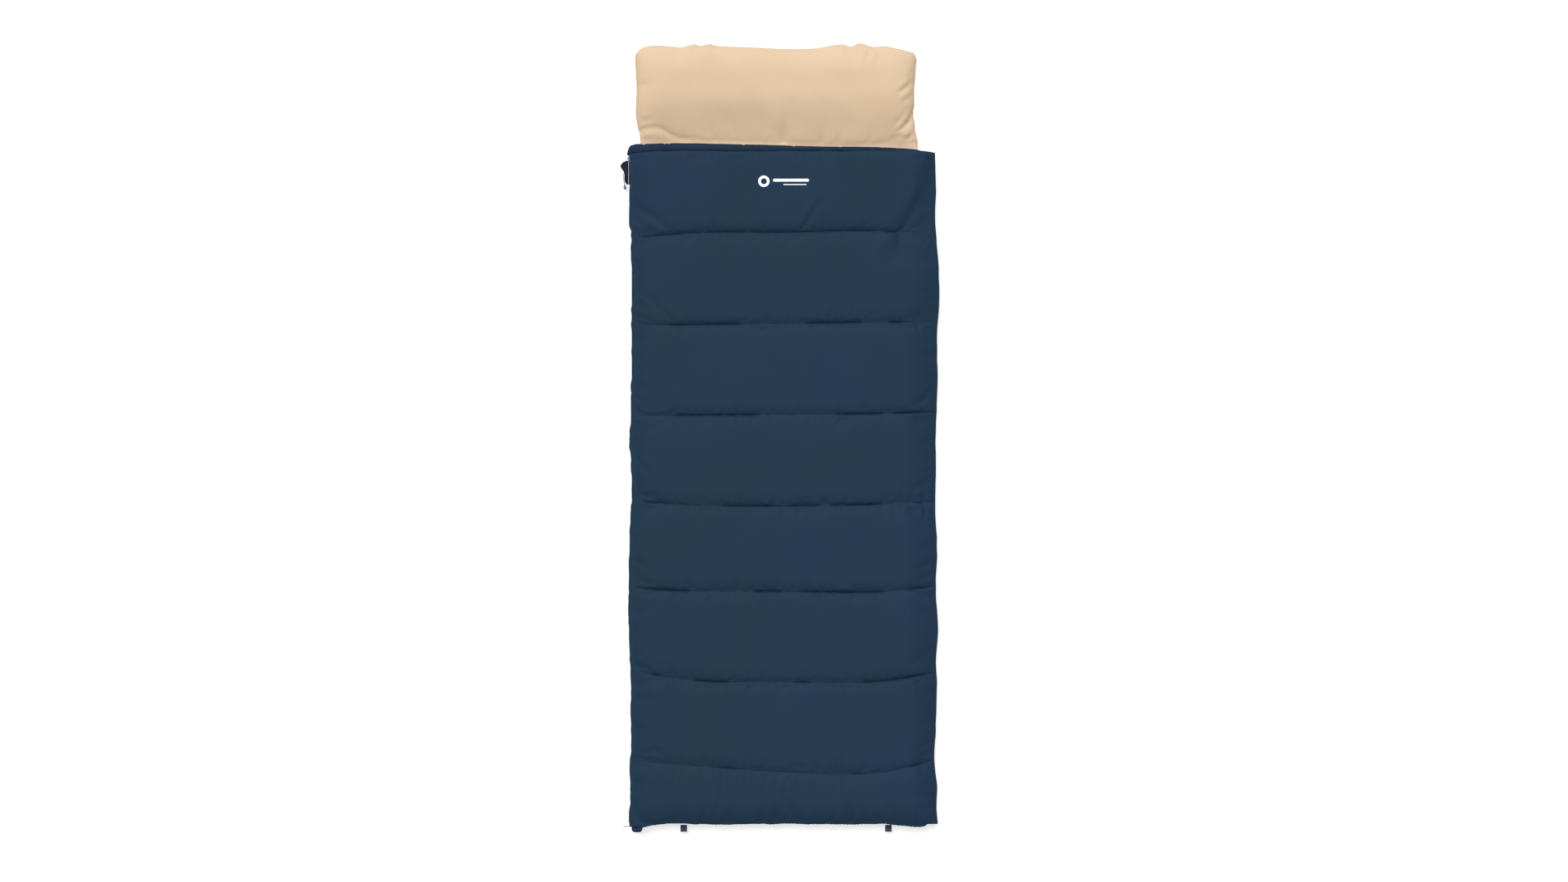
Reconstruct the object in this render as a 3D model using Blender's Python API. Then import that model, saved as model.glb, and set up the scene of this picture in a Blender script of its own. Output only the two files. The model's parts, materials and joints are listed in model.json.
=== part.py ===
"""Camp quilt: a rectangular sleeping bag that unzips along its side and foot and opens flat.

Frame: metres, +Z up, +Y towards the head, +X towards the folded side, with the zip at -X.
The origin is on the underside, at the middle of the bag's plan without the pillow.
"""

import math

import bmesh
import bpy
from mathutils import Matrix, Vector

# ---- overall sizes ----
BAG_WIDTH = 0.891  # zip face to folded edge
BAG_LENGTH = 1.964  # foot zip face to the head edge
HALF_THICKNESS = 0.036  # one quilt half, at the crest of a channel
SLEEPING_GAP = 0.008  # between the two linings of an empty bag
MID_Z = HALF_THICKNESS + SLEEPING_GAP / 2

LEFT = -BAG_WIDTH / 2
RIGHT = BAG_WIDTH / 2
HEAD = BAG_LENGTH / 2
FOOT = -BAG_LENGTH / 2

TOUCH = 0.0003  # gap kept between pieces that are sewn or pressed together
CLOTH = 0.002  # solid that stands for one layer of cloth

# ---- quilting ----
HEM_WIDTH = 0.024
FIRST_CHANNEL = 0.238
CHANNEL_PITCH = 0.257
LAST_CHANNEL_LEAST = 0.10
SEAM_THICKNESS = 0.015  # a half, where it is stitched through
EDGE_THICKNESS = 0.012
SEAM_FLANKS = (0.010, 0.025, 0.044)  # distances from a seam at which the cloth bends
SEAM_RISES = (0.48, 0.85, 1.0)  # share of the full puff reached there
EDGE_FLANKS = (0.020, 0.050, 0.088)
EDGE_RISES = (0.45, 0.82, 1.0)

# ---- zip ----
TAPE = 0.0008
TAPE_REACH = 0.017  # from the closing line to the tape's outer selvedge
TAPE_START = 0.001
TAPE_LEG_DROP = 0.014  # where the seam leg leaves the tape
TEETH_START = 0.0008
TEETH_WIDTH = 0.0024
TEETH_DEPTH = 0.0017
ZIP_POCKET = 0.0042  # from the tape's face to the quilt edge behind it
HEAD_FREE = 0.047  # front tape ends this far from the head
CORNER_FREE = 0.006  # the side zip stops this far from the foot corner
FOLD_FREE = 0.030  # the foot zip stops this far from the folded edge
STOP_LENGTH = 0.003

SLIDER_LENGTH = 0.011
SLIDER_GAP = 0.0015  # rest clearance between the slider and the end of the front teeth
PLATE = 0.0013
PLATE_CLEAR = 0.0004
FLANGE = 0.0009
POST = 0.0009
POST_LENGTH = 0.003
EAR = 0.0009
PIN_RADIUS = 0.0007
PIN_CLEAR = 0.00025
KNUCKLE_WALL = 0.0007
EAR_CLEAR = 0.0003
PULL_LENGTH = 0.018
PULL_WIDTH = 0.006
PULL_THICKNESS = 0.0012
PULL_HOLE = 0.0014  # its radius
PULL_HOLE_EDGE = 0.0014  # metal left between the hole and the pull's tip
KNUCKLE_LENGTH = 0.00372
NECK_SLIMMING = 0.9  # the neck's width against the knuckle's
EAR_CAP = 0.0006  # ear metal left above the pin
PULL_TUCK = 0.0004  # how far the ears sink between the knuckle and the plate
CORD_DIAMETER = 0.0022
BEAD_LENGTH = 0.0145
BEAD_RADIUS = 0.0045

# ---- zip cover ----
COVER_LENGTH = 0.069  # along the zip
COVER_REACH = 0.026  # from its stitching to its free edge
COVER_LEAN = math.radians(62)  # how far it stands out from hanging straight down, clear of the pull
COVER_THICKNESS = 0.0018
COVER_CORNER = 0.008
COVER_SETBACK = 0.0005  # from the front tape's end
COVER_STANDOFF = 0.0014
COVER_RISE = 0.001  # of its stitching above the front tape's selvedge
COVER_HEM = 0.003  # from its hook patch to its free edge
PATCH_WIDTH = 0.0105
PATCH_MARGIN = 0.005
PATCH_THICKNESS = 0.0012

# ---- draft tube ----
TUBE_WIDTH = 0.044
TUBE_THICKNESS = 0.0062
TUBE_INSET = 0.010

# ---- foot tabs ----
LOOP_PITCH = 0.592  # between the centres of the two hanging loops
LOOP_SHIFT = 0.008
LOOP_WIDTH = 0.019
LOOP_REACH = 0.020
LOOP_STRAP = 0.0014
LOOP_BULB = 0.0082  # outer height of the eye
LOOP_ROOT = 0.004
LOOP_SPREAD = 0.0035  # over which the two straps part to make the eye
LOOP_STANDOFF = 0.0026
LOOP_DROP = 0.0115  # below the closing line
TAB_WIDTH = 0.031
TAB_REACH = 0.021
TAB_THICKNESS = 0.0025
TAB_INSET = 0.008
TAB_CORNER = 0.010

# ---- pillow ----
PILLOW_LEFT = 0.020  # set in from the zip side
PILLOW_RIGHT = 0.059
PILLOW_LENGTH = 0.292
PILLOW_HEIGHT = 0.088
PILLOW_SEAM = 0.0015  # from the head edge to the seam
PILLOW_SEAM_THICKNESS = 0.013
PILLOW_ROUNDING = 0.05
CASE = 0.002


def clear_scene():
    for obj in list(bpy.data.objects):
        bpy.data.objects.remove(obj, do_unlink=True)


def material(name, colour, roughness, metallic=0.0):
    found = bpy.data.materials.get(name)
    if found:
        return found
    made = bpy.data.materials.new(name)
    made.use_nodes = True
    shader = made.node_tree.nodes["Principled BSDF"]
    shader.inputs["Base Color"].default_value = (*colour, 1.0)
    shader.inputs["Roughness"].default_value = roughness
    shader.inputs["Metallic"].default_value = metallic
    return made


NAVY = (0.021, 0.043, 0.078)
BEIGE = (0.72, 0.55, 0.37)
BATTING = (0.82, 0.82, 0.80)
TAPE_BLUE = (0.014, 0.026, 0.050)
NYLON = (0.020, 0.030, 0.050)
METAL = (0.30, 0.31, 0.33)
CORD_GREY = (0.30, 0.36, 0.42)


def finish(name, mesh, colour, roughness=0.85, metallic=0.0, smooth=True):
    mesh.normal_update()
    data = bpy.data.meshes.new(name)
    mesh.to_mesh(data)
    mesh.free()
    if smooth:
        data.shade_smooth()
        data.set_sharp_from_angle(angle=math.radians(40))
    obj = bpy.data.objects.new(name, data)
    bpy.context.scene.collection.objects.link(obj)
    obj.data.materials.append(material(name, colour, roughness, metallic))
    return obj


def pivot(name, place):
    """An empty on a joint's axis, which the pieces of that moving body hang from."""
    empty = bpy.data.objects.new(name, None)
    empty.location = place
    empty.empty_display_size = 0.03
    bpy.context.scene.collection.objects.link(empty)
    return empty


def hang_on(empty, *pieces):
    for piece in pieces:
        piece.parent = empty
        piece.matrix_parent_inverse = Matrix.Translation(-Vector(empty.location))


def nest(child, parent):
    """Hangs one pivot on another and leaves it where it is."""
    child.location = Vector(child.location) - Vector(parent.location)
    child.parent = parent


# ---- shape builders ----


def layer(name, xs, ys, lower, upper, colour, roughness=0.85, outline=None):
    """A closed solid between two height functions over a grid, such as one layer of a quilt."""
    place = outline or (lambda x, y: (x, y))
    mesh = bmesh.new()

    def sheet(height):
        rows = []
        for y in ys:
            row = []
            for x in xs:
                px, py = place(x, y)
                row.append(mesh.verts.new((px, py, height(x, y))))
            rows.append(row)
        return rows

    low, high = sheet(lower), sheet(upper)
    for j in range(len(ys) - 1):
        for i in range(len(xs) - 1):
            quad = (high[j][i], high[j][i + 1], high[j + 1][i + 1], high[j + 1][i])
            mesh.faces.new(quad)
            quad = (low[j][i], low[j + 1][i], low[j + 1][i + 1], low[j][i + 1])
            mesh.faces.new(quad)
    around = [(0, i) for i in range(len(xs) - 1)]
    around += [(j, len(xs) - 1) for j in range(len(ys) - 1)]
    around += [(len(ys) - 1, i) for i in range(len(xs) - 1, 0, -1)]
    around += [(j, 0) for j in range(len(ys) - 1, 0, -1)]
    for (j, i), (n, m) in zip(around, around[1:] + around[:1]):
        mesh.faces.new((low[j][i], low[n][m], high[n][m], high[j][i]))
    return finish(name, mesh, colour, roughness)


def box(name, low, high, colour, roughness=0.7, metallic=0.0):
    mesh = bmesh.new()
    bmesh.ops.create_cube(mesh, size=1.0)
    for v in mesh.verts:
        v.co = [low[k] + (v.co[k] + 0.5) * (high[k] - low[k]) for k in range(3)]
    return finish(name, mesh, colour, roughness, metallic, smooth=False)


def extrusion(name, outline, place, along, colour, roughness=0.7, metallic=0.0):
    """A closed solid from a 2-D outline: place turns each of its points into one in space, and along is the
    extrusion's vector."""
    mesh = bmesh.new()
    start = [mesh.verts.new(place(*p)) for p in outline]
    face = mesh.faces.new(start)
    result = bmesh.ops.extrude_face_region(mesh, geom=[face])
    moved = [v for v in result["geom"] if isinstance(v, bmesh.types.BMVert)]
    bmesh.ops.translate(mesh, vec=along, verts=moved)
    bmesh.ops.recalc_face_normals(mesh, faces=mesh.faces[:])
    return finish(name, mesh, colour, roughness, metallic)


def arc(centre, radius, start, end, steps):
    """Points on a circle's arc, in degrees."""
    points = []
    for k in range(steps + 1):
        angle = math.radians(start + (end - start) * k / steps)
        points.append((centre[0] + radius * math.cos(angle), centre[1] + radius * math.sin(angle)))
    return points


def rounded_end(width, reach, corner, steps=4):
    """A tab's outline: a straight root at v = 0 and two round corners at v = reach."""
    half = width / 2
    outline = [(-half, 0.0), (half, 0.0)]
    outline += arc((half - corner, reach - corner), corner, 0, 90, steps)
    outline += arc((-half + corner, reach - corner), corner, 90, 180, steps)
    return outline


def cylinder(name, centre, axis, radius, length, sides=16):
    mesh = bmesh.new()
    turn = Vector((0, 0, 1)).rotation_difference(Vector(axis)).to_matrix().to_4x4()
    bmesh.ops.create_cone(
        mesh,
        cap_ends=True,
        segments=sides,
        radius1=radius,
        radius2=radius,
        depth=length,
        matrix=Matrix.Translation(centre) @ turn,
    )
    return finish(name, mesh, METAL, 0.35, 1.0)


def combine(target, tool, operation):
    """Adds or cuts one solid with another, which stays in the file as a hidden guide."""
    step = target.modifiers.new(tool.name, "BOOLEAN")
    step.operation = operation
    step.solver = "EXACT"
    step.object = tool
    tool.hide_render = True
    tool.display_type = "WIRE"
    tool.parent = target


# ---- quilted halves ----


def seam_lines(head):
    """The stitched-through lines across a half whose first channel starts at head, nearest the head first."""
    lines, y = [], head - FIRST_CHANNEL
    while y > FOOT + LAST_CHANNEL_LEAST:
        lines.append(y)
        y -= CHANNEL_PITCH
    return lines


GROOVE = HEAD - HEM_WIDTH  # where the front's padded part ends and its hem begins
SEAMS = seam_lines(GROOVE)
QUILT_LEFT = LEFT + ZIP_POCKET
FOLD_REACH = 0.0140  # what the fold stands out past the quilt halves
QUILT_RIGHT = RIGHT - FOLD_REACH
QUILT_FOOT = FOOT + ZIP_POCKET


def share(distance, flanks, rises):
    """How much of the full puff there is at a distance from an edge or a seam, from 0 to 1."""
    last_d, last_r = 0.0, 0.0
    for d, r in zip(flanks, rises):
        if distance <= d:
            return last_r + (r - last_r) * (distance - last_d) / (d - last_d)
        last_d, last_r = d, r
    return 1.0


def grid_x():
    inner = [QUILT_LEFT + d for d in EDGE_FLANKS] + [QUILT_RIGHT - d for d in reversed(EDGE_FLANKS)]
    return [QUILT_LEFT, *inner, QUILT_RIGHT]


def grid_y(head):
    ys = {QUILT_FOOT, head}
    ys.update(QUILT_FOOT + d for d in EDGE_FLANKS)
    ys.update(head - d for d in SEAM_FLANKS)
    for seam in SEAMS:
        ys.add(seam)
        for d in SEAM_FLANKS:
            ys.update((seam - d, seam + d))
    return sorted(ys)


def thickness(x, y, head):
    """A quilt half's thickness, from its lining to its outer cloth."""
    from_side = min(x - QUILT_LEFT, QUILT_RIGHT - x)
    side = share(from_side, EDGE_FLANKS, EDGE_RISES)
    foot = share(y - QUILT_FOOT, EDGE_FLANKS, EDGE_RISES)
    to_seam = min([abs(y - s) for s in SEAMS] + [head - y])
    puff = share(to_seam, SEAM_FLANKS, SEAM_RISES)
    stitched = EDGE_THICKNESS + (SEAM_THICKNESS - EDGE_THICKNESS) * min(side, foot)
    return stitched + (HALF_THICKNESS - stitched) * min(side, foot) * puff


def quilt_half(prefix, head, up):
    """The outer cloth, batting and lining of one half. up is 1 for the front, which puffs upwards, or -1."""
    xs, ys = grid_x(), grid_y(head)
    face = MID_Z + up * SLEEPING_GAP / 2

    def level(depth):
        return lambda x, y: face + up * depth(x, y)

    full = lambda x, y: thickness(x, y, head)
    cloth_in = lambda x, y: full(x, y) - CLOTH
    fill_top = lambda x, y: full(x, y) - CLOTH - TOUCH
    lining_face = lambda x, y: 0.0
    lining_back = lambda x, y: CLOTH
    fill_base = lambda x, y: CLOTH + TOUCH

    def slab(name, inner, outer, colour, grid_xs, grid_ys):
        low, high = (inner, outer) if up > 0 else (outer, inner)
        return layer(name, grid_xs, grid_ys, level(low), level(high), colour)

    shell = slab(prefix + "_shell", cloth_in, full, NAVY, xs, ys)
    batting = slab(prefix + "_batting", fill_base, fill_top, BATTING, xs, ys)
    ends = ([QUILT_LEFT, QUILT_RIGHT], [QUILT_FOOT, head])
    lining = slab(prefix + "_lining", lining_face, lining_back, BEIGE, *ends)
    return shell, batting, lining


def head_hem():
    """The rolled band along the front's head edge."""
    low = MID_Z + SLEEPING_GAP / 2
    high = low + SEAM_THICKNESS + CLOTH
    middle = (GROOVE + TOUCH + HEAD) / 2
    half_width = (HEAD - GROOVE - TOUCH) / 2
    half_height = (high - low) / 2
    outline = []
    for k in range(16):
        angle = 2 * math.pi * k / 16
        c, s = math.cos(angle), math.sin(angle)
        across = math.copysign(abs(c) ** 0.6, c)
        up = math.copysign(abs(s) ** 0.6, s)
        outline.append((middle + half_width * across, low + half_height * (1 + up)))
    length = Vector((QUILT_RIGHT - QUILT_LEFT, 0, 0))
    return extrusion("head_hem", outline, lambda y, z: (QUILT_LEFT, y, z), length, NAVY)


def side_fold():
    """The strip of outer cloth that runs round the folded side from the back to the front."""
    half = SLEEPING_GAP / 2 + EDGE_THICKNESS
    start = QUILT_RIGHT + TOUCH
    depth = RIGHT - start
    outer, inner = [], []
    for k in range(9):
        angle = math.radians(-90 + 180 * k / 8)
        outer.append((start + depth * math.cos(angle), MID_Z + half * math.sin(angle)))
        bend = (depth - CLOTH) * math.cos(angle)
        inner.append((start + bend, MID_Z + (half - CLOTH) * math.sin(angle)))
    outline = outer + inner[::-1]
    length = Vector((0, GROOVE - QUILT_FOOT, 0))
    return extrusion("side_fold", outline, lambda x, z: (x, QUILT_FOOT, z), length, NAVY)


# ---- zip runs: u is along the zip, v is out from its face, w is up from the closing line ----


def side_place(u, v, w):
    return (LEFT - v, u, MID_Z + w)


def foot_place(u, v, w):
    return (u, FOOT - v, MID_Z + w)


def tape(name, place, start, end, up):
    """One tape: a flat strip at the zip's face, with a leg to the quilt edge behind it."""
    leg = ZIP_POCKET - TOUCH
    drop, reach = TAPE_LEG_DROP, TAPE_REACH
    outline = [
        (0.0, TAPE_START),
        (0.0, reach),
        (-TAPE, reach),
        (-TAPE, drop + TAPE),
        (-leg, drop + TAPE),
        (-leg, drop),
        (-TAPE, drop),
        (-TAPE, TAPE_START),
    ]
    along = Vector(place(end, 0, 0)) - Vector(place(start, 0, 0))
    return extrusion(name, outline, lambda v, w: place(start, v, up * w), along, TAPE_BLUE)


def strip(name, place, start, end, depth, low, high, colour, roughness=0.5, stand=TOUCH):
    """A straight bar on the tape's face, between two heights from the closing line."""
    outline = [(stand, low), (stand + depth, low), (stand + depth, high), (stand, high)]
    along = Vector(place(end, 0, 0)) - Vector(place(start, 0, 0))
    return extrusion(name, outline, lambda v, w: place(start, v, w), along, colour, roughness)


def teeth(name, place, start, end, up):
    edges = sorted((up * TEETH_START, up * (TEETH_START + TEETH_WIDTH)))
    return strip(name, place, start, end, TEETH_DEPTH, *edges, NYLON)


def end_stop(name, place, start, end):
    """The moulded stop that closes a run. It holds the back tape only."""
    top = -TEETH_START
    bottom = -(TEETH_START + TEETH_WIDTH)
    return strip(name, place, start, end, TEETH_DEPTH, bottom, top, METAL, 0.35)


PLATE_OUT = TOUCH + TEETH_DEPTH + PLATE_CLEAR  # underside of the slider's outer plate
KNUCKLE = PIN_RADIUS + PIN_CLEAR + KNUCKLE_WALL
PIVOT_OUT = PLATE_OUT + PLATE + PULL_THICKNESS / 2 + KNUCKLE - PULL_TUCK
SLIDER_HALF = TEETH_START + TEETH_WIDTH + PLATE_CLEAR + FLANGE


def bar(name, place, low, high):
    """A block between two (u, v, w) corners."""
    a, b = Vector(place(*low)), Vector(place(*high))
    lows = [min(a[k], b[k]) for k in range(3)]
    highs = [max(a[k], b[k]) for k in range(3)]
    return box(name, lows, highs, METAL, 0.35, 1.0)


def slider(name, place, centre):
    """Two plates round the teeth, joined by a post in the slit between the rows, and two ears with a pin."""
    u0, u1 = centre - SLIDER_LENGTH / 2, centre + SLIDER_LENGTH / 2
    inner_face = -(TAPE + PLATE_CLEAR)
    wide = SLIDER_HALF
    body = bar(name, place, (u0, PLATE_OUT, -wide), (u1, PLATE_OUT + PLATE, wide))
    back = bar(name + "_inner_plate", place, (u0, inner_face - PLATE, -wide), (u1, inner_face, wide))
    flanges = []
    for k, s in enumerate((-1, 1)):
        low = (u0, PLATE_CLEAR, s * (wide - FLANGE))
        high = (u1, PLATE_OUT + PLATE / 2, s * wide)
        flanges.append(bar(f"{name}_flange_{k}", place, low, high))
    post_start = centre - POST_LENGTH / 2
    post_low = (post_start, inner_face - PLATE / 2, -POST / 2)
    post_high = (post_start + POST_LENGTH, PLATE_OUT + PLATE / 2, POST / 2)
    post = bar(name + "_post", place, post_low, post_high)
    ear_in = KNUCKLE_LENGTH / 2 + EAR_CLEAR
    ear_half = KNUCKLE - EAR_CLEAR
    ear_top = PIVOT_OUT + PIN_RADIUS + EAR_CAP
    ears = []
    for k, s in enumerate((-1, 1)):
        low = (centre - ear_half, PLATE_OUT + PLATE / 2, s * ear_in)
        high = (centre + ear_half, ear_top, s * (ear_in + EAR))
        ears.append(bar(f"{name}_ear_{k}", place, low, high))
    pin = cylinder(name + "_pin", place(centre, PIVOT_OUT, 0), (0, 0, 1), PIN_RADIUS, 2 * ear_in + EAR, 12)
    for piece in (post, back, *flanges, *ears, pin):
        combine(body, piece, "UNION")
    return body


def pull_tab(name, place, centre, way):
    """The pull: a knuckle on the slider's pin and a flat tab with a hole at its tip, on the side of way."""
    half = KNUCKLE_LENGTH / 2
    knuckle = cylinder(name, place(centre, PIVOT_OUT, 0), (0, 0, 1), KNUCKLE, 2 * half, 16)
    tip = centre + way * PULL_LENGTH
    t = PULL_THICKNESS / 2
    neck_half = half * NECK_SLIMMING
    neck_low = (centre + way * KNUCKLE * 0.5, PIVOT_OUT - t, -neck_half)
    neck_high = (centre + way * PULL_LENGTH * 0.4, PIVOT_OUT + t, neck_half)
    neck = bar(name + "_neck", place, neck_low, neck_high)
    outline = []
    shoulder = centre + way * PULL_LENGTH * 0.35
    for k in range(16):
        angle = 2 * math.pi * k / 16
        c, s = math.cos(angle), math.sin(angle)
        along = math.copysign(abs(c) ** 0.5, c)
        across = math.copysign(abs(s) ** 0.5, s)
        middle, reach = (shoulder + tip) / 2, abs(tip - shoulder) / 2
        outline.append((middle + reach * along, PULL_WIDTH / 2 * across))
    depth = Vector(place(0, PULL_THICKNESS, 0)) - Vector(place(0, 0, 0))
    blade = extrusion(
        name + "_blade", outline, lambda u, w: place(u, PIVOT_OUT - t, w), depth, METAL, 0.35, 1.0
    )
    out = Vector(place(0, 1, 0)) - Vector(place(0, 0, 0))
    hole_at = place(tip - way * (PULL_HOLE + PULL_HOLE_EDGE), PIVOT_OUT, 0)
    hole = cylinder(name + "_cord_hole", hole_at, out, PULL_HOLE, 4 * PULL_THICKNESS, 12)
    pin_hole = cylinder(
        name + "_pin_hole", place(centre, PIVOT_OUT, 0), (0, 0, 1), PIN_RADIUS + PIN_CLEAR, 4 * PULL_WIDTH, 16
    )
    combine(knuckle, neck, "UNION")
    combine(knuckle, blade, "UNION")
    combine(knuckle, hole, "DIFFERENCE")
    combine(knuckle, pin_hole, "DIFFERENCE")
    return knuckle


def smooth_route(points, step):
    """Evenly spaced points on a smooth curve through the given ones."""
    route = [Vector(p) for p in points]
    before = route[0] * 2 - route[1]
    after = route[-1] * 2 - route[-2]
    knots = [before, *route, after]
    fine = []
    for a, b, c, d in zip(knots, knots[1:], knots[2:], knots[3:]):
        for k in range(12):
            t = k / 12
            bend = 2 * a - 5 * b + 4 * c - d
            turn = -a + 3 * b - 3 * c + d
            fine.append((2 * b + (c - a) * t + bend * t**2 + turn * t**3) / 2)
    fine.append(route[-1])
    kept, run = [fine[0]], 0.0
    for p, q in zip(fine, fine[1:]):
        run += (q - p).length
        if run >= step:
            kept.append(q)
            run = 0.0
    if (kept[-1] - fine[-1]).length < step / 2:
        kept.pop()
    kept.append(fine[-1])
    return kept


def cord(name, points):
    """A cord's tube along a route chosen by hand."""
    curve = bpy.data.curves.new(name, "CURVE")
    curve.dimensions = "3D"
    curve.bevel_depth = CORD_DIAMETER / 2
    curve.bevel_resolution = 2
    curve.use_fill_caps = True
    route = smooth_route(points, 2.5 * CORD_DIAMETER)
    spline = curve.splines.new("POLY")
    spline.points.add(len(route) - 1)
    for point, place in zip(spline.points, route):
        point.co = (*place, 1.0)
    obj = bpy.data.objects.new(name, curve)
    bpy.context.scene.collection.objects.link(obj)
    curve.materials.append(material(name, CORD_GREY, 0.7))
    return obj


def bead(name, start, way):
    """The cord's teardrop end piece, moulded round the knot. start is its narrow end."""
    mesh = bmesh.new()
    sections = ((0.0, 0.30), (0.25, 0.62), (0.55, 1.0), (0.85, 0.92), (1.0, 0.55))
    turn = Vector((0, 0, 1)).rotation_difference(Vector(way).normalized())
    rings = []
    for along, wide in sections:
        ring = []
        for k in range(10):
            angle = 2 * math.pi * k / 10
            r = BEAD_RADIUS * wide
            p = Vector((r * math.cos(angle), r * math.sin(angle), along * BEAD_LENGTH))
            ring.append(mesh.verts.new(Vector(start) + turn @ p))
        rings.append(ring)
    for a, b in zip(rings, rings[1:]):
        for k in range(10):
            n = (k + 1) % 10
            mesh.faces.new((a[k], a[n], b[n], b[k]))
    mesh.faces.new(rings[0][::-1])
    mesh.faces.new(rings[-1])
    bmesh.ops.recalc_face_normals(mesh, faces=mesh.faces[:])
    return finish(name, mesh, NYLON, 0.5)


# ---- zip cover, draft tube, foot tabs ----

FRONT_ZIP_HEAD = HEAD - HEAD_FREE  # the front tape and its teeth end here
SLIDER_REST = FRONT_ZIP_HEAD + SLIDER_GAP + SLIDER_LENGTH / 2
BACK_ZIP_HEAD = SLIDER_REST + SLIDER_LENGTH / 2 + TOUCH + STOP_LENGTH
SIDE_ZIP_FOOT = FOOT + CORNER_FREE
FOOT_ZIP_END = QUILT_RIGHT - FOLD_FREE
FOOT_SLIDER_REST = LEFT + ZIP_POCKET + SLIDER_LENGTH / 2
FOOT_ZIP_START = FOOT_SLIDER_REST + SLIDER_LENGTH / 2 + SLIDER_GAP
COVER_MIDDLE = FRONT_ZIP_HEAD - COVER_SETBACK - COVER_LENGTH / 2
COVER_HINGE = (LEFT - COVER_STANDOFF, COVER_MIDDLE, MID_Z + TAPE_REACH + COVER_RISE)


def zip_cover():
    """The hook-and-loop flap that hangs from the front's edge and shields the closed slider."""
    root = Vector(COVER_HINGE)
    down = Vector((-math.sin(COVER_LEAN), 0, -math.cos(COVER_LEAN)))
    out = Vector((-math.cos(COVER_LEAN), 0, math.sin(COVER_LEAN)))
    outline = rounded_end(COVER_LENGTH, COVER_REACH, COVER_CORNER)
    place = lambda u, v: root + Vector((0, u, 0)) + down * v
    flap = extrusion("zip_cover", outline, place, out * COVER_THICKNESS, NAVY)
    patch_length = COVER_LENGTH - 2 * PATCH_MARGIN
    patch_outline = rounded_end(patch_length, PATCH_WIDTH, PATCH_WIDTH * 0.2, 1)
    start = COVER_REACH - PATCH_WIDTH - COVER_HEM
    patch_place = lambda u, v: place(u, v + start) - out * TOUCH
    patch = extrusion("cover_hook_patch", patch_outline, patch_place, -out * PATCH_THICKNESS, TAPE_BLUE)
    return flap, patch


def loop_patch():
    """The soft half of the fastener, on the back tape below the slider's way."""
    middle = COVER_HINGE[1]
    half = COVER_LENGTH / 2 - PATCH_MARGIN
    ends = (middle - half, middle + half)
    heights = (-TAPE_REACH, -(SLIDER_HALF + 3 * TOUCH))
    return strip("cover_loop_patch", side_place, *ends, PATCH_THICKNESS, *heights, TAPE_BLUE, 0.9)


def draft_tube():
    """The flat padded roll inside the front, behind the side zip."""
    top = MID_Z + SLEEPING_GAP / 2 - TOUCH
    middle = QUILT_LEFT + TUBE_INSET + TUBE_WIDTH / 2
    outline = []
    for k in range(12):
        angle = 2 * math.pi * k / 12
        c, s = math.cos(angle), math.sin(angle)
        across = math.copysign(abs(c) ** 0.8, c) * TUBE_WIDTH / 2
        up = math.copysign(abs(s) ** 0.8, s) * TUBE_THICKNESS / 2
        outline.append((middle + across, top - TUBE_THICKNESS / 2 + up))
    start, end = SIDE_ZIP_FOOT, FRONT_ZIP_HEAD
    length = Vector((0, end - start, 0))
    return extrusion("draft_tube", outline, lambda x, z: (x, start, z), length, BEIGE)


LOOP_AXIS = (FOOT - LOOP_STANDOFF, MID_Z - LOOP_DROP)  # y and z of the line on which the loops swing


def hanging_loop(name, x):
    """A loop of webbing with both ends in the foot seam, and an eye that a peg or hook goes through."""
    y0, z0 = LOOP_AXIS
    t = LOOP_STRAP
    eye = (LOOP_BULB - t) / 2
    pinch = t / 2 + TOUCH / 2
    far = LOOP_REACH - t / 2
    parted = LOOP_ROOT + LOOP_SPREAD
    middle = [(0.0, pinch), (LOOP_ROOT, pinch), (parted, eye)]
    middle += arc((far - eye, 0.0), eye, 90, -90, 8)
    middle += [(parted, -eye), (LOOP_ROOT, -pinch), (0.0, -pinch)]
    points = [Vector(p) for p in middle]
    left, right = [], []
    for k, p in enumerate(points):
        before = points[max(k - 1, 0)]
        after = points[min(k + 1, len(points) - 1)]
        along = (after - before).normalized()
        side = Vector((-along.y, along.x)) * t / 2
        left.append(p + side)
        right.append(p - side)
    outline = left + right[::-1]
    place = lambda v, w: (x - LOOP_WIDTH / 2, y0 - v, z0 + w)
    return extrusion(name, [tuple(p) for p in outline], place, Vector((LOOP_WIDTH, 0, 0)), TAPE_BLUE)


def corner_tab():
    """The rounded tab that closes over the zip's corner."""
    middle = QUILT_LEFT + TAB_INSET + TAB_WIDTH / 2 - ZIP_POCKET
    z = MID_Z + TAPE_REACH + TOUCH
    outline = rounded_end(TAB_WIDTH, TAB_REACH, TAB_CORNER)
    place = lambda u, v: (middle + u, FOOT - v, z)
    return extrusion("corner_tab", outline, place, Vector((0, 0, TAB_THICKNESS)), NAVY)


# ---- pillow ----

PILLOW_X = (LEFT + PILLOW_LEFT, RIGHT - PILLOW_RIGHT)
PILLOW_AXIS = (HEAD + TOUCH, HALF_THICKNESS)  # y and z of its seam
PILLOW_Y = (HEAD + PILLOW_SEAM, HEAD + PILLOW_SEAM + PILLOW_LENGTH)
PILLOW_SIDE = (0.012, 0.035, 0.075, 0.130)
PILLOW_SIDE_RISE = (0.30, 0.60, 0.86, 1.0)
PILLOW_FRONT = (0.020, 0.045, 0.085, 0.130)
PILLOW_FRONT_RISE = (0.30, 0.62, 0.90, 1.0)
PILLOW_DROP = 1.6  # how much sooner the underside reaches the ground than the top reaches its crown


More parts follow.
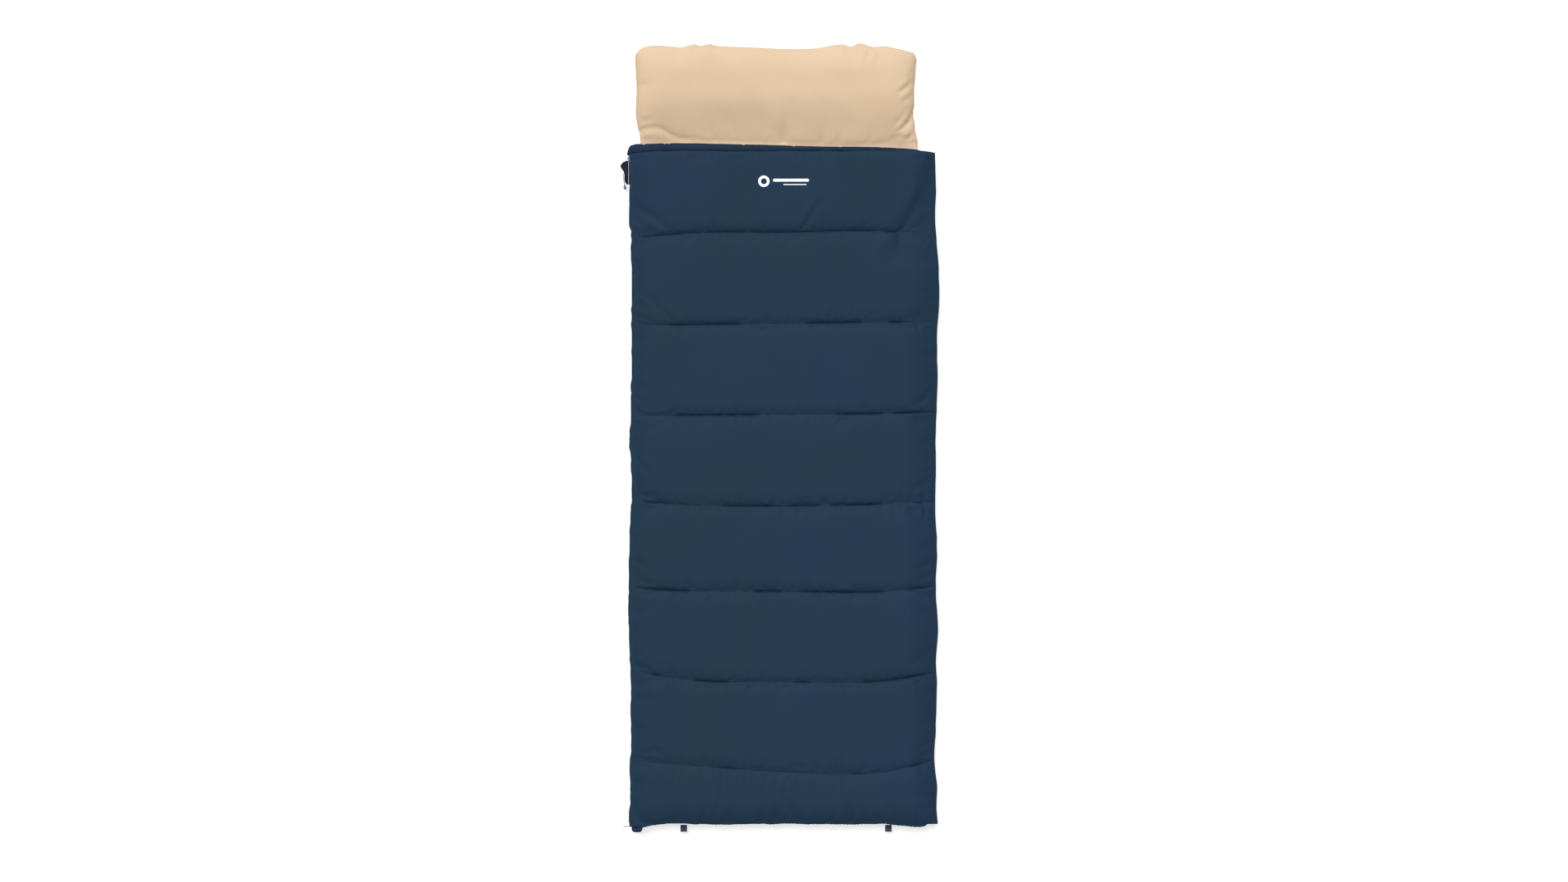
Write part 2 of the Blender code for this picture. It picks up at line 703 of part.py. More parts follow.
def pillow_outline(x, y):
    """Softens the four corners of the pillow's plan."""
    (x0, x1), (y0, y1) = PILLOW_X, PILLOW_Y
    u = 2 * (x - x0) / (x1 - x0) - 1
    v = 2 * (y - y0) / (y1 - y0) - 1
    px = (x0 + x1) / 2 + (x1 - x0) / 2 * u * (1 - PILLOW_ROUNDING * max(v, 0) ** 6)
    py = (y0 + y1) / 2 + (y1 - y0) / 2 * (v - PILLOW_ROUNDING * max(v, 0) * u**6)
    return px, py


def pillow_fullness(x, y):
    sides = share(min(x - PILLOW_X[0], PILLOW_X[1] - x), PILLOW_SIDE, PILLOW_SIDE_RISE)
    ends = share(min(y - PILLOW_Y[0], PILLOW_Y[1] - y), PILLOW_FRONT, PILLOW_FRONT_RISE)
    return sides * ends


def pillow_top(x, y):
    low = PILLOW_AXIS[1] - TOUCH
    return low + (PILLOW_HEIGHT - low) * pillow_fullness(x, y)


def pillow_bottom(x, y):
    low = PILLOW_AXIS[1] - TOUCH - PILLOW_SEAM_THICKNESS
    return low * (1 - min(1.0, PILLOW_DROP * pillow_fullness(x, y)))


def pillow():
    def spread(edges, flanks):
        low, high = edges
        return [low, *[low + d for d in flanks], *[high - d for d in reversed(flanks)], high]

    xs, ys = spread(PILLOW_X, PILLOW_SIDE), spread(PILLOW_Y, PILLOW_FRONT)
    wall = CASE + TOUCH
    top_in = lambda x, y: pillow_top(x, y) - CASE
    bottom_in = lambda x, y: pillow_bottom(x, y) + CASE
    fill_top = lambda x, y: pillow_top(x, y) - wall
    fill_low = lambda x, y: pillow_bottom(x, y) + wall
    return (
        layer("pillow_case_top", xs, ys, top_in, pillow_top, BEIGE, 0.85, pillow_outline),
        layer("pillow_fill", xs, ys, fill_low, fill_top, BATTING, 0.9, pillow_outline),
        layer("pillow_case_bottom", xs, ys, pillow_bottom, bottom_in, BEIGE, 0.85, pillow_outline),
    )


# ---- cord routes, chosen by hand ----


def side_cord_route():
    """From the side pull's tip, over the bag's edge and down towards the ground."""
    x, y, z = side_place(SLIDER_REST - PULL_LENGTH, PIVOT_OUT, 0)
    return [
        (x, y - 2 * TOUCH, z),
        (x - 0.0050, y - 0.012, z - 0.0045),
        (x - 0.0105, y - 0.026, z - 0.0105),
        (x - 0.0110, y - 0.040, z - 0.0165),
        (x - 0.0090, y - 0.055, z - 0.0210),
    ]


def foot_cord_route():
    """From the foot pull's tip, past the corner and down in front of the foot edge."""
    x, y, z = foot_place(FOOT_SLIDER_REST - PULL_LENGTH, PIVOT_OUT, 0)
    return [
        (x - 2 * TOUCH, y, z),
        (x - 0.0070, y - 0.0005, z - 0.0040),
        (x - 0.0105, y - 0.0015, z - 0.0120),
        (x - 0.0090, y - 0.0025, z - 0.0210),
        (x - 0.0040, y - 0.0035, z - 0.0290),
    ]


def build():
    clear_scene()

    quilt_half("back", HEAD - TOUCH, -1)
    tape("side_tape_back", side_place, SIDE_ZIP_FOOT, BACK_ZIP_HEAD, -1)
    teeth("side_teeth_back", side_place, SIDE_ZIP_FOOT, BACK_ZIP_HEAD - STOP_LENGTH - TOUCH, -1)
    end_stop("side_zip_stop", side_place, BACK_ZIP_HEAD - STOP_LENGTH, BACK_ZIP_HEAD)
    tape("foot_tape_back", foot_place, QUILT_LEFT, FOOT_ZIP_END, -1)
    teeth("foot_teeth_back", foot_place, QUILT_LEFT, FOOT_ZIP_END - STOP_LENGTH - TOUCH, -1)
    end_stop("foot_zip_stop", foot_place, FOOT_ZIP_END - STOP_LENGTH, FOOT_ZIP_END)
    loop_patch()
    side_fold()

    front = pivot("front_pivot", (RIGHT, 0, MID_Z))
    hang_on(front, *quilt_half("front", GROOVE, 1), head_hem(), draft_tube(), corner_tab())
    hang_on(
        front,
        tape("side_tape_front", side_place, SIDE_ZIP_FOOT, FRONT_ZIP_HEAD, 1),
        teeth("side_teeth_front", side_place, SIDE_ZIP_FOOT, FRONT_ZIP_HEAD, 1),
        tape("foot_tape_front", foot_place, FOOT_ZIP_START, FOOT_ZIP_END, 1),
        teeth("foot_teeth_front", foot_place, FOOT_ZIP_START, FOOT_ZIP_END, 1),
    )
    cover = pivot("cover_pivot", COVER_HINGE)
    hang_on(cover, *zip_cover())
    nest(cover, front)

    side_at = side_place(SLIDER_REST, PIVOT_OUT, 0)
    side_run = pivot("side_slider_pivot", side_place(SLIDER_REST, 0, 0))
    hang_on(side_run, slider("side_slider", side_place, SLIDER_REST))
    side_pull = pivot("side_pull_pivot", side_at)
    route = side_cord_route()
    way = Vector(route[-1]) - Vector(route[-2])
    bead_start = Vector(route[-1]) + way.normalized() * TOUCH
    hang_on(
        side_pull,
        pull_tab("side_pull_tab", side_place, SLIDER_REST, -1),
        cord("side_pull_cord", route),
        bead("side_pull_bead", bead_start, way),
    )
    nest(side_pull, side_run)

    foot_at = foot_place(FOOT_SLIDER_REST, PIVOT_OUT, 0)
    foot_run = pivot("foot_slider_pivot", foot_place(FOOT_SLIDER_REST, 0, 0))
    hang_on(foot_run, slider("foot_slider", foot_place, FOOT_SLIDER_REST))
    foot_pull = pivot("foot_pull_pivot", foot_at)
    hang_on(
        foot_pull,
        pull_tab("foot_pull_tab", foot_place, FOOT_SLIDER_REST, -1),
        cord("foot_pull_cord", foot_cord_route()),
    )
    nest(foot_pull, foot_run)

    head = pivot("pillow_pivot", (0, *PILLOW_AXIS))
    hang_on(head, *pillow())
    for name, side in (("left", -1), ("right", 1)):
        x = LOOP_SHIFT + side * LOOP_PITCH / 2
        swing = pivot(f"loop_{name}_pivot", (x, *LOOP_AXIS))
        hang_on(swing, hanging_loop("hanging_loop_" + name, x))


build()
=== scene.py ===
"""Looks for the camp quilt: cloth, padding, zips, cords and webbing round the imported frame."""

import json
import math

import bpy
import numpy as np
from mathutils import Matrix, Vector
from mathutils.bvhtree import BVHTree


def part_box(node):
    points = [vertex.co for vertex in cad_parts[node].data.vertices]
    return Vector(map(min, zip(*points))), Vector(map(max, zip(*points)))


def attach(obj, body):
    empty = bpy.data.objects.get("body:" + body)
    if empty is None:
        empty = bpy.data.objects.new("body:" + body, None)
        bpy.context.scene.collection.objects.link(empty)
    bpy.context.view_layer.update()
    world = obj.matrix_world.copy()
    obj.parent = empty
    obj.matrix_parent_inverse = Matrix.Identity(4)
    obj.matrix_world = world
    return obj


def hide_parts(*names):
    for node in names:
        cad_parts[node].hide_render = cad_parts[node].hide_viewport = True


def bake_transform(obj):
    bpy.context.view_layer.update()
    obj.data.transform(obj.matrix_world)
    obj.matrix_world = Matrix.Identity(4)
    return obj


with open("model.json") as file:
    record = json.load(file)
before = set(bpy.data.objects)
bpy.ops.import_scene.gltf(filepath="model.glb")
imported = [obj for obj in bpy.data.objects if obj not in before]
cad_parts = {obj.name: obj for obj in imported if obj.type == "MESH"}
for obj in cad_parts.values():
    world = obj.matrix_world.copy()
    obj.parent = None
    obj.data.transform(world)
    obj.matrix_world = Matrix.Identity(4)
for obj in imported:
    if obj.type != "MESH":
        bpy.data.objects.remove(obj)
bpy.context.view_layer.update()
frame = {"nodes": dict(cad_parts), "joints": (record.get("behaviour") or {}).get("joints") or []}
nodes = frame["nodes"]
scene = bpy.context.scene

# ---- places read from the frame ----
GAP_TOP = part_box("front_lining")[0].z  # inner face of the front's lining
GAP_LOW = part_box("back_lining")[1].z
MID_Z = (GAP_TOP + GAP_LOW) / 2
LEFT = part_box("side_tape_back")[0].x
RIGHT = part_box("side_fold")[1].x
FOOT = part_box("foot_tape_back")[0].y
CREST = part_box("front_shell")[1].z
HEM_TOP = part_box("head_hem")[1].z
TAPE_LOW, TAPE_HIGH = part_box("side_tape_front")[0].z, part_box("side_tape_front")[1].z


# ---- small helpers ----


def through(xs, ys):
    """A smooth function through a few points."""
    xs, ys = np.array(xs, float), np.array(ys, float)
    slopes = np.gradient(ys, xs)

    def value(x):
        x = np.clip(np.asarray(x, float), xs[0], xs[-1])
        k = np.clip(np.searchsorted(xs, x) - 1, 0, len(xs) - 2)
        h = xs[k + 1] - xs[k]
        t = (x - xs[k]) / h
        start = ys[k] * (1 + 2 * t) * (1 - t) ** 2 + slopes[k] * h * t * (1 - t) ** 2
        return start + ys[k + 1] * t * t * (3 - 2 * t) + slopes[k + 1] * h * t * t * (t - 1)

    return value


def ease(t):
    """A smooth step from 0 to 1."""
    t = np.clip(t, 0, 1)
    return t * t * (3 - 2 * t)


def lattice(i, j, seed):
    """A fixed number from -1 to 1 for each whole-number place."""
    n = (i * 374761393 + j * 668265263 + seed * 974711) & 0xFFFFFFFF
    n = ((n ^ (n >> 13)) * 1274126177) & 0xFFFFFFFF
    return ((n ^ (n >> 16)) & 0xFFFF) / 32767.5 - 1


def fuzz(x, y, size, seed):
    """Smooth noise from -1 to 1, with features about size across."""
    u, v = np.asarray(x, float) / size, np.asarray(y, float) / size
    u, v = np.broadcast_arrays(u, v)
    i, j = np.floor(u).astype(np.int64), np.floor(v).astype(np.int64)
    s, t = ease(u - i), ease(v - j)
    low = lattice(i, j, seed) * (1 - s) + lattice(i + 1, j, seed) * s
    high = lattice(i, j + 1, seed) * (1 - s) + lattice(i + 1, j + 1, seed) * s
    return low * (1 - t) + high * t


def mesh_object(name, points, faces, smooth=True):
    data = bpy.data.meshes.new(name)
    data.from_pydata([tuple(p) for p in points], [], faces)
    data.update()
    if smooth:
        data.shade_smooth()
    obj = bpy.data.objects.new(name, data)
    scene.collection.objects.link(obj)
    return obj


def grid_faces(rows, cols, start=0, flip=False):
    """The faces of a grid of points, which are numbered row by row."""
    j, i = np.meshgrid(np.arange(rows - 1), np.arange(cols - 1), indexing="ij")
    a = (start + j * cols + i).ravel()
    quads = np.stack([a, a + 1, a + cols + 1, a + cols], 1)
    if flip:
        quads = quads[:, ::-1]
    return quads.tolist()


def tube(name, rings, closed_ends=True, smooth=True):
    """A closed form through rings of points, each ring with the same number of points."""
    rings = [np.asarray(r, float) for r in rings]
    n = len(rings[0])
    points = np.concatenate(rings)
    faces = []
    for r in range(len(rings) - 1):
        for k in range(n):
            a, b = r * n + k, r * n + (k + 1) % n
            faces.append((a, b, b + n, a + n))
    if closed_ends:
        faces.append(tuple(range(n))[::-1])
        last = (len(rings) - 1) * n
        faces.append(tuple(range(last, last + n)))
    return mesh_object(name, points, faces, smooth)


# ---- materials ----

BAND_PITCH = 0.314  # how far apart a band texture's stripes lie at scale 1

def new_material(name):
    """A material, its node tree, its shader and the object's own coordinates."""
    made = bpy.data.materials.new(name)
    made.use_nodes = True
    tree = made.node_tree
    place = tree.nodes.new("ShaderNodeTexCoord").outputs["Object"]
    return made, tree, tree.nodes["Principled BSDF"], place


def give(node, **values):
    """Sets a node's inputs, whose names have underscores here for their spaces, and its other settings."""
    for key, value in values.items():
        socket = key.replace("_", " ")
        if socket in node.inputs:
            node.inputs[socket].default_value = value
        else:
            setattr(node, key, value)


def add(tree, kind, feed=None, into="Vector", **values):
    """A new node, with one of its inputs fed by another node's output."""
    node = tree.nodes.new(kind)
    give(node, **values)
    if feed:
        tree.links.new(feed, node.inputs[into])
    return node


def noise(tree, place, scale, detail, roughness):
    """A cloudy texture's value."""
    made = add(tree, "ShaderNodeTexNoise", place, Scale=scale, Detail=detail, Roughness=roughness)
    return made.outputs["Fac"]


def bands(tree, place, direction, pitch, **values):
    """The value of a texture of stripes that lie a pitch apart."""
    made = add(tree, "ShaderNodeTexWave", place, wave_type="BANDS", bands_direction=direction, **values)
    made.inputs["Scale"].default_value = BAND_PITCH / pitch
    return made.outputs["Fac"]


def product(tree, a, b):
    """Two values multiplied; the second may be a plain number."""
    node = add(tree, "ShaderNodeMath", a, 0, operation="MULTIPLY")
    if isinstance(b, float):
        node.inputs[1].default_value = b
    else:
        tree.links.new(b, node.inputs[1])
    return node.outputs["Value"]


def relief(tree, height, strength, distance):
    """A bump node that follows a texture."""
    return add(tree, "ShaderNodeBump", height, "Height", Strength=strength, Distance=distance)


def gloss(tree, shader, value, low, high):
    """Lets the roughness wander between two values."""
    rough = add(tree, "ShaderNodeMapRange", value, "Value", To_Min=low, To_Max=high)
    tree.links.new(rough.outputs["Result"], shader.inputs["Roughness"])


def srgb(r, g, b):
    """A colour given as it looks on a screen, from 0 to 255."""
    linear = []
    for c in (r, g, b):
        c = c / 255
        linear.append(c / 12.92 if c <= 0.04045 else ((c + 0.055) / 1.055) ** 2.4)
    return (*linear, 1.0)


def mixed(tree, factor, a, b):
    node = add(tree, "ShaderNodeMix", data_type="RGBA")
    tree.links.new(factor, node.inputs["Factor"])
    for socket, value in (("A", a), ("B", b)):
        target = [s for s in node.inputs if s.name == socket and s.type == "RGBA"][0]
        if isinstance(value, tuple):
            target.default_value = value
        else:
            tree.links.new(value, target)
    return [s for s in node.outputs if s.type == "RGBA"][0]


def cloth(name, colour, patch, thread, roughness, sheen, pitch, weave=0.25, crumple=0.15):
    """Woven cloth: threads both ways, drifting colour and fine crumple, in three close colours."""
    made, tree, shader, place = new_material(name)
    uneven = {"Distortion": 1.2, "Detail": 1.0, "Detail_Scale": 2.0}
    woven = product(tree, *[bands(tree, place, way, pitch, **uneven) for way in ("X", "Y")])
    drift = noise(tree, place, 3.1, 3.0, 0.55)
    shade = add(tree, "ShaderNodeMapRange", drift, "Value", From_Min=0.35, From_Max=0.68)
    base = mixed(tree, shade.outputs["Result"], colour, patch)
    tree.links.new(mixed(tree, product(tree, woven, 0.55), base, thread), shader.inputs["Base Color"])
    gloss(tree, shader, noise(tree, place, 420.0, 2.0, 0.6), roughness - 0.07, roughness + 0.07)
    creases = relief(tree, noise(tree, place, 34.0, 4.0, 0.6), crumple, 0.004)
    surface = relief(tree, woven, weave, pitch * 0.4)
    tree.links.new(creases.outputs["Normal"], surface.inputs["Normal"])
    tree.links.new(surface.outputs["Normal"], shader.inputs["Normal"])
    give(shader, Sheen_Weight=sheen, Sheen_Roughness=0.45, Sheen_Tint=colour, Specular_IOR_Level=0.12)
    return made


def napped(name, colour, patch, roughness, sheen):
    """A brushed, felted or hooked surface without a visible weave."""
    made, tree, shader, place = new_material(name)
    drift = noise(tree, place, 5.0, 4.0, 0.6)
    tree.links.new(mixed(tree, drift, colour, patch), shader.inputs["Base Color"])
    pile = relief(tree, noise(tree, place, 900.0, 3.0, 0.7), 0.5, 0.0006)
    tree.links.new(pile.outputs["Normal"], shader.inputs["Normal"])
    give(shader, Roughness=roughness, Sheen_Weight=sheen)
    return made


def hard(name, colour, patch, roughness, metallic, scratch=160.0, bump=0.08):
    """Moulded plastic, nylon or cast metal, with slight wear in its gloss."""
    made, tree, shader, place = new_material(name)
    marks = noise(tree, place, scratch, 4.0, 0.65)
    tree.links.new(mixed(tree, marks, colour, patch), shader.inputs["Base Color"])
    gloss(tree, shader, marks, roughness * 0.75, min(1.0, roughness * 1.3))
    tree.links.new(relief(tree, marks, bump, 0.0003).outputs["Normal"], shader.inputs["Normal"])
    give(shader, Metallic=metallic)
    return made


def ribbed(name, colour, patch, pitch, direction, roughness=0.75, depth=0.0005):
    """Webbing, tape or braid: ribs across its length with a flecked colour."""
    made, tree, shader, place = new_material(name)
    ribs = bands(tree, place, direction, pitch, Distortion=1.5, Detail_Scale=3.0)
    flecks = product(tree, ribs, noise(tree, place, 500.0, 2.0, 0.6))
    tree.links.new(mixed(tree, flecks, colour, patch), shader.inputs["Base Color"])
    tree.links.new(relief(tree, ribs, 0.5, depth).outputs["Normal"], shader.inputs["Normal"])
    give(shader, Roughness=roughness, Sheen_Weight=0.15)
    return made


NAVY = cloth("navy_shell", srgb(24, 48, 65), srgb(27, 47, 71), srgb(18, 40, 57), 0.68, 0.10, 0.0011)
# the shell's navy made darker: painted shade for the rolled hem, which is the same cloth turned over the head
# edge
NAVY_HEM_SHADED = cloth("navy_hem_painted_shade", srgb(22, 41, 60), srgb(25, 42, 65), srgb(17, 35, 52), 0.68, 0.10, 0.0011)
COVER = cloth("cover_cloth", srgb(17, 28, 42), srgb(20, 30, 46), srgb(12, 22, 34), 0.7, 0.05, 0.0011)
LINING_TONES = (srgb(203, 178, 148), srgb(198, 172, 142), srgb(192, 165, 135))
CASE_TONES = (srgb(208, 184, 155), srgb(203, 177, 148), srgb(197, 170, 142))
BEIGE = cloth("brushed_lining", *LINING_TONES, 0.85, 0.2, 0.0009, 0.3, 0.22)
CASE = cloth("pillow_cotton", *CASE_TONES, 0.85, 0.15, 0.0009, 0.3, 0.16)
TAPE = ribbed("zip_tape_weave", srgb(30, 42, 58), srgb(52, 66, 84), 0.0016, "Z")
WEBBING = ribbed("webbing_ribs", srgb(30, 42, 60), srgb(58, 72, 92), 0.0024, "X")
TEETH = hard("nylon_coil", srgb(26, 34, 46), srgb(44, 54, 68), 0.38, 0.0)
METAL = hard("painted_zinc", srgb(70, 78, 88), srgb(112, 120, 128), 0.34, 0.85)
MOULDED = hard("moulded_end", srgb(92, 112, 128), srgb(120, 140, 156), 0.45, 0.0)
HOOKS = napped("hook_fastener", srgb(24, 34, 48), srgb(36, 48, 64), 0.8, 0.1)
PILE = napped("loop_fastener", srgb(28, 40, 56), srgb(48, 60, 78), 0.95, 0.6)
CORD = ribbed("cord_braid", srgb(120, 138, 156), srgb(168, 182, 194), 0.0016, "DIAGONAL", 0.7, 0.0003)
WHITE_PRINT = hard("white_print", srgb(228, 231, 233), srgb(214, 218, 222), 0.55, 0.0, 700.0, 0.3)


def paint(data, material):
    data.materials.clear()
    data.materials.append(material)


def dress(obj, material, body=None, replaces=()):
    paint(obj.data, material)
    if body:
        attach(obj, body)
    if replaces:
        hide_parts(*replaces)
    return obj


# ---- camera and cords, first ----

CAMERA_DISTANCE = 10.70  # above the closing line of the bag

camera_data = bpy.data.cameras.new("camera")
camera_data.lens = 85
camera_data.sensor_width = 36
camera_data.clip_end = 80
camera = bpy.data.objects.new("camera", camera_data)
camera.location = (0.002, 0.126, MID_Z + CAMERA_DISTANCE)
scene.collection.objects.link(camera)
scene.camera = camera

CORD_DIAMETER = 0.0022
SIDE_CORD = (
    (-0.45105, 0.9234, 0.0400),
    (-0.45605, 0.9120, 0.0355),
    (-0.46155, 0.8980, 0.0295),
    (-0.46205, 0.8840, 0.0235),
    (-0.46005, 0.8690, 0.0190),
)
FOOT_CORD = (
    (-0.45440, -0.98755, 0.0400),
    (-0.46080, -0.98805, 0.0360),
    (-0.46430, -0.98905, 0.0280),
    (-0.46280, -0.99005, 0.0190),
    (-0.45780, -0.99105, 0.0110),
)


def smooth_route(points, step):
    """Evenly spaced points on a smooth curve through the given ones."""
    route = [Vector(p) for p in points]
    knots = [route[0] * 2 - route[1], *route, route[-1] * 2 - route[-2]]
    fine = []
    for a, b, c, d in zip(knots, knots[1:], knots[2:], knots[3:]):
        for k in range(12):
            t = k / 12
            bend = 2 * a - 5 * b + 4 * c - d
            turn = -a + 3 * b - 3 * c + d
            fine.append((2 * b + (c - a) * t + bend * t**2 + turn * t**3) / 2)
    fine.append(route[-1])
    kept, run = [fine[0]], 0.0
    for p, q in zip(fine, fine[1:]):
        run += (q - p).length
        if run >= step:
            kept.append(q)
            run = 0.0
    if (kept[-1] - fine[-1]).length < step / 2:
        kept.pop()
    kept.append(fine[-1])
    return kept


def cord_curve(name, points):
    curve = bpy.data.curves.new(name, "CURVE")
    curve.dimensions = "3D"
    curve.bevel_depth = CORD_DIAMETER / 2
    curve.bevel_resolution = 3
    curve.use_fill_caps = True
    spline = curve.splines.new("POLY")
    spline.points.add(len(points) - 1)
    for point, place in zip(spline.points, points):
        point.co = (*place, 1.0)
    obj = bpy.data.objects.new(name, curve)
    scene.collection.objects.link(obj)
    return obj


def knot(name, centre, radius):
    """An overhand knot, drawn up tight: a trefoil of cord."""
    rings = []
    count = 36
    line = []
    for k in range(count):
        t = 2 * math.pi * k / count
        x = math.sin(t) + 2 * math.sin(2 * t)
        y = math.cos(t) - 2 * math.cos(2 * t)
        z = -math.sin(3 * t)
        line.append(Vector(centre) + Vector((x, z * 1.2, y)) * radius / 3.2)
    for k in range(count):
        way = (line[(k + 1) % count] - line[k - 1]).normalized()
        side = way.cross(Vector((0.3, 1, 0.2))).normalized()
        up = way.cross(side)
        ring = []
        for m in range(8):
            a = 2 * math.pi * m / 8
            ring.append(line[k] + (side * math.cos(a) + up * math.sin(a)) * CORD_DIAMETER * 0.36)
        rings.append(ring)
    rings.append(rings[0])
    return tube(name, rings, closed_ends=False)


side_line = smooth_route(SIDE_CORD, 0.0020)
foot_line = smooth_route(FOOT_CORD, 0.0018)
side_cord = cord_curve("side_cord_braid", side_line)
dress(side_cord, CORD, "side_pull", ["side_pull_cord"])
foot_cord = cord_curve("foot_cord_braid", foot_line)
dress(foot_cord, CORD, "foot_pull", ["foot_pull_cord"])
foot_knot = knot("foot_cord_knot", Vector(FOOT_CORD[-1]) + Vector((0.0006, 0, -0.0022)), 0.0026)
dress(foot_knot, CORD, "foot_pull")

# ---- how the bag lies: outline and quilting lines, in metres ----

SEAM_X = (-0.445, -0.30, 0.0, 0.30, 0.445)
SEAM_Y = (
    (-0.794, -0.806, -0.827, -0.827, -0.795),
    (-0.535, -0.560, -0.569, -0.565, -0.542),
    (-0.298, -0.306, -0.308, -0.308, -0.294),
    (-0.046, -0.057, -0.062, -0.056, -0.051),
    (0.197, 0.199, 0.201, 0.205, 0.209),
    (0.458, 0.460, 0.464, 0.468, 0.468),
    (0.707, 0.723, 0.727, 0.729, 0.716),
)
seam_lines = [through(SEAM_X, ys) for ys in SEAM_Y]
foot_side = through(
    (-0.451, -0.435, -0.410, -0.385, -0.350, -0.310, -0.20, 0.0, 0.10, 0.20, 0.30, 0.34, 0.37, 0.41,
     0.451),
    (-0.9835, -0.9880, -0.9890, -0.9840, -0.9795, -0.9780, -0.9800, -0.9785, -0.9795, -0.9805, -0.9795,
     -0.9830, -0.9870, -0.9875, -0.9835),
)
groove_line = through(
    (-0.451, -0.44, -0.41, -0.30, -0.12, 0.10, 0.30, 0.37, 0.42, 0.446),
    (0.9475, 0.9530, 0.9585, 0.9610, 0.9615, 0.9610, 0.9640, 0.9650, 0.9600, 0.9585),
)
head_edge = through(
    (-0.451, -0.446, -0.432, -0.405, -0.14, 0.10, 0.33, 0.385, 0.415, 0.446),
    (0.9600, 0.9725, 0.9815, 0.9832, 0.9830, 0.9765, 0.9715, 0.9670, 0.9600, 0.9590),
)
left_side = through(
    (-0.99, -0.96, -0.90, -0.83, -0.74, -0.65, -0.56, -0.46, -0.35, -0.24, -0.12, -0.03, 0.06, 0.14, 0.24,
     0.33, 0.42, 0.50, 0.62, 0.72, 0.80, 0.87, 0.96),
    (-0.4455, -0.4440, -0.4420, -0.4435, -0.4395, -0.4415, -0.4405, -0.4455, -0.4475, -0.4460, -0.4435,
     -0.4375, -0.4400, -0.4432, -0.4412, -0.4368, -0.4368, -0.4388, -0.4368, -0.4415, -0.4445, -0.4470,
     -0.4470),
)
right_side = through(
    (-0.99, -0.94, -0.88, -0.80, -0.70, -0.57, -0.52, -0.42, -0.30, -0.20, -0.05, 0.02, 0.12, 0.24, 0.31,
     0.37, 0.44, 0.53, 0.62, 0.70, 0.78, 0.86, 0.96),
    (0.4480, 0.4430, 0.4440, 0.4372, 0.4405, 0.4435, 0.4415, 0.4462, 0.4405, 0.4437, 0.4392, 0.4410,
     0.4395, 0.4435, 0.4462, 0.4440, 0.4440, 0.4500, 0.4488, 0.4430, 0.4380, 0.4412, 0.4372),
)
right_slope = through(
    (-0.99, -0.95, -0.80, -0.70, -0.45, -0.20, 0.10, 0.40, 0.60, 0.72, 0.80, 0.88, 0.96),
    (0.045, 0.050, 0.070, 0.065, 0.080, 0.088, 0.088, 0.085, 0.110, 0.148, 0.100, 0.055, 0.024),
)


def tape_line(y):
    """Where the side zip's tapes lie: along the bag's side, and straight at both ends of the slider's run."""
    straight = LEFT + 0.0001
    loose = np.clip(left_side(y) + 0.0050, straight, straight + 0.0085)
    held = np.clip(ease((y - 0.86) / 0.05) + ease((-0.90 - y) / 0.05), 0, 1)
    return loose * (1 - held) + straight * held


def foot_tape(x):
    """Where the foot zip's tapes lie."""
    straight = FOOT + 0.0001
    return straight + 0.0040 * ease((x + 0.40) / 0.08) * ease((0.36 - x) / 0.08)


def zip_left(y):
    """Where the cloth begins behind the side zip."""
    return tape_line(np.asarray(y, float)) + 0.0017


def zip_foot(x):
    """Where the cloth begins behind the foot zip."""
    return foot_tape(np.asarray(x, float)) + 0.0017


def left_edge(y):
    """The zipped side, with the small scallops that the stitching draws into it."""
    y = np.asarray(y, float)
    amount = 0.0013 + 0.0022 * ease((y + 0.10) / 0.12) * ease((0.86 - y) / 0.10)
    scallop = fuzz(y, 0.5, 0.022, 11) + 0.5 * fuzz(y, 3.5, 0.012, 12)
    return left_side(y) + amount * scallop


def right_edge(y):
    return right_side(y) + 0.0011 * fuzz(y, 0.5, 0.030, 21)


def foot_edge(x):
    return foot_side(x) + 0.0017 * fuzz(x, 0.5, 0.032, 31) + 0.0008 * fuzz(x, 0.5, 0.014, 32)


def groove_at(x):
    """The line where the front meets the rolled hem."""
    return groove_line(x) + 0.0016 * fuzz(x, 0.5, 0.036, 41) + 0.0008 * fuzz(x, 0.5, 0.015, 42)


NEAR = (0.0, 0.0006, 0.0016, 0.0034, 0.0060, 0.0095, 0.0140, 0.0200, 0.0270, 0.0345, 0.0425)
PITCH = 0.0085


def spread_between(length, near=NEAR, pitch=PITCH):
    """Distances along a channel, close together by its seams and even between."""
    middle = length - 2 * near[-1]
    steps = max(2, round(middle / pitch))
    inner = [near[-1] + middle * k / steps for k in range(1, steps)]
    return np.array([*near, *inner, *[length - d for d in reversed(near)]]) / length


def channel_rows(lines, x_middle):
    """Every row of the quilt as (channel, share of the way across it)."""
    rows = []
    for k in range(len(lines) - 1):
        length = float(lines[k + 1](x_middle) - lines[k](x_middle))
        shares = spread_between(length)
        if k < len(lines) - 2:
            shares = shares[:-1]
        rows += [(k, float(f)) for f in shares]
    return rows


FRONT_LINES = [zip_foot, *seam_lines, groove_at]
HEAD_CHANNEL = len(FRONT_LINES) - 2  # the channels are counted from 0 at the foot
ROWS = channel_rows(FRONT_LINES, 0.0)
CHANNEL = np.array([k for k, _ in ROWS])
SHARE = np.array([f for _, f in ROWS])


def channel_lines(lines, x):
    """The y of the two lines on either side of each row, at the row's own x."""
    values = np.stack([line(x) * np.ones_like(x) for line in lines])
    rows = np.arange(len(ROWS))
    return values[CHANNEL, rows], values[CHANNEL + 1, rows]


def row_y(lines, x):
    """The y of each row at its own x, as a (rows, columns) array."""
    low, high = channel_lines(lines, x)
    return low * (1 - SHARE[:, None]) + high * SHARE[:, None]


def seam_distances(lines, x):
    """How far each point is from the line on either side of it: towards the foot, then the head."""
    low, high = channel_lines(lines, x)
    return (high - low) * SHARE[:, None], (high - low) * (1 - SHARE[:, None])


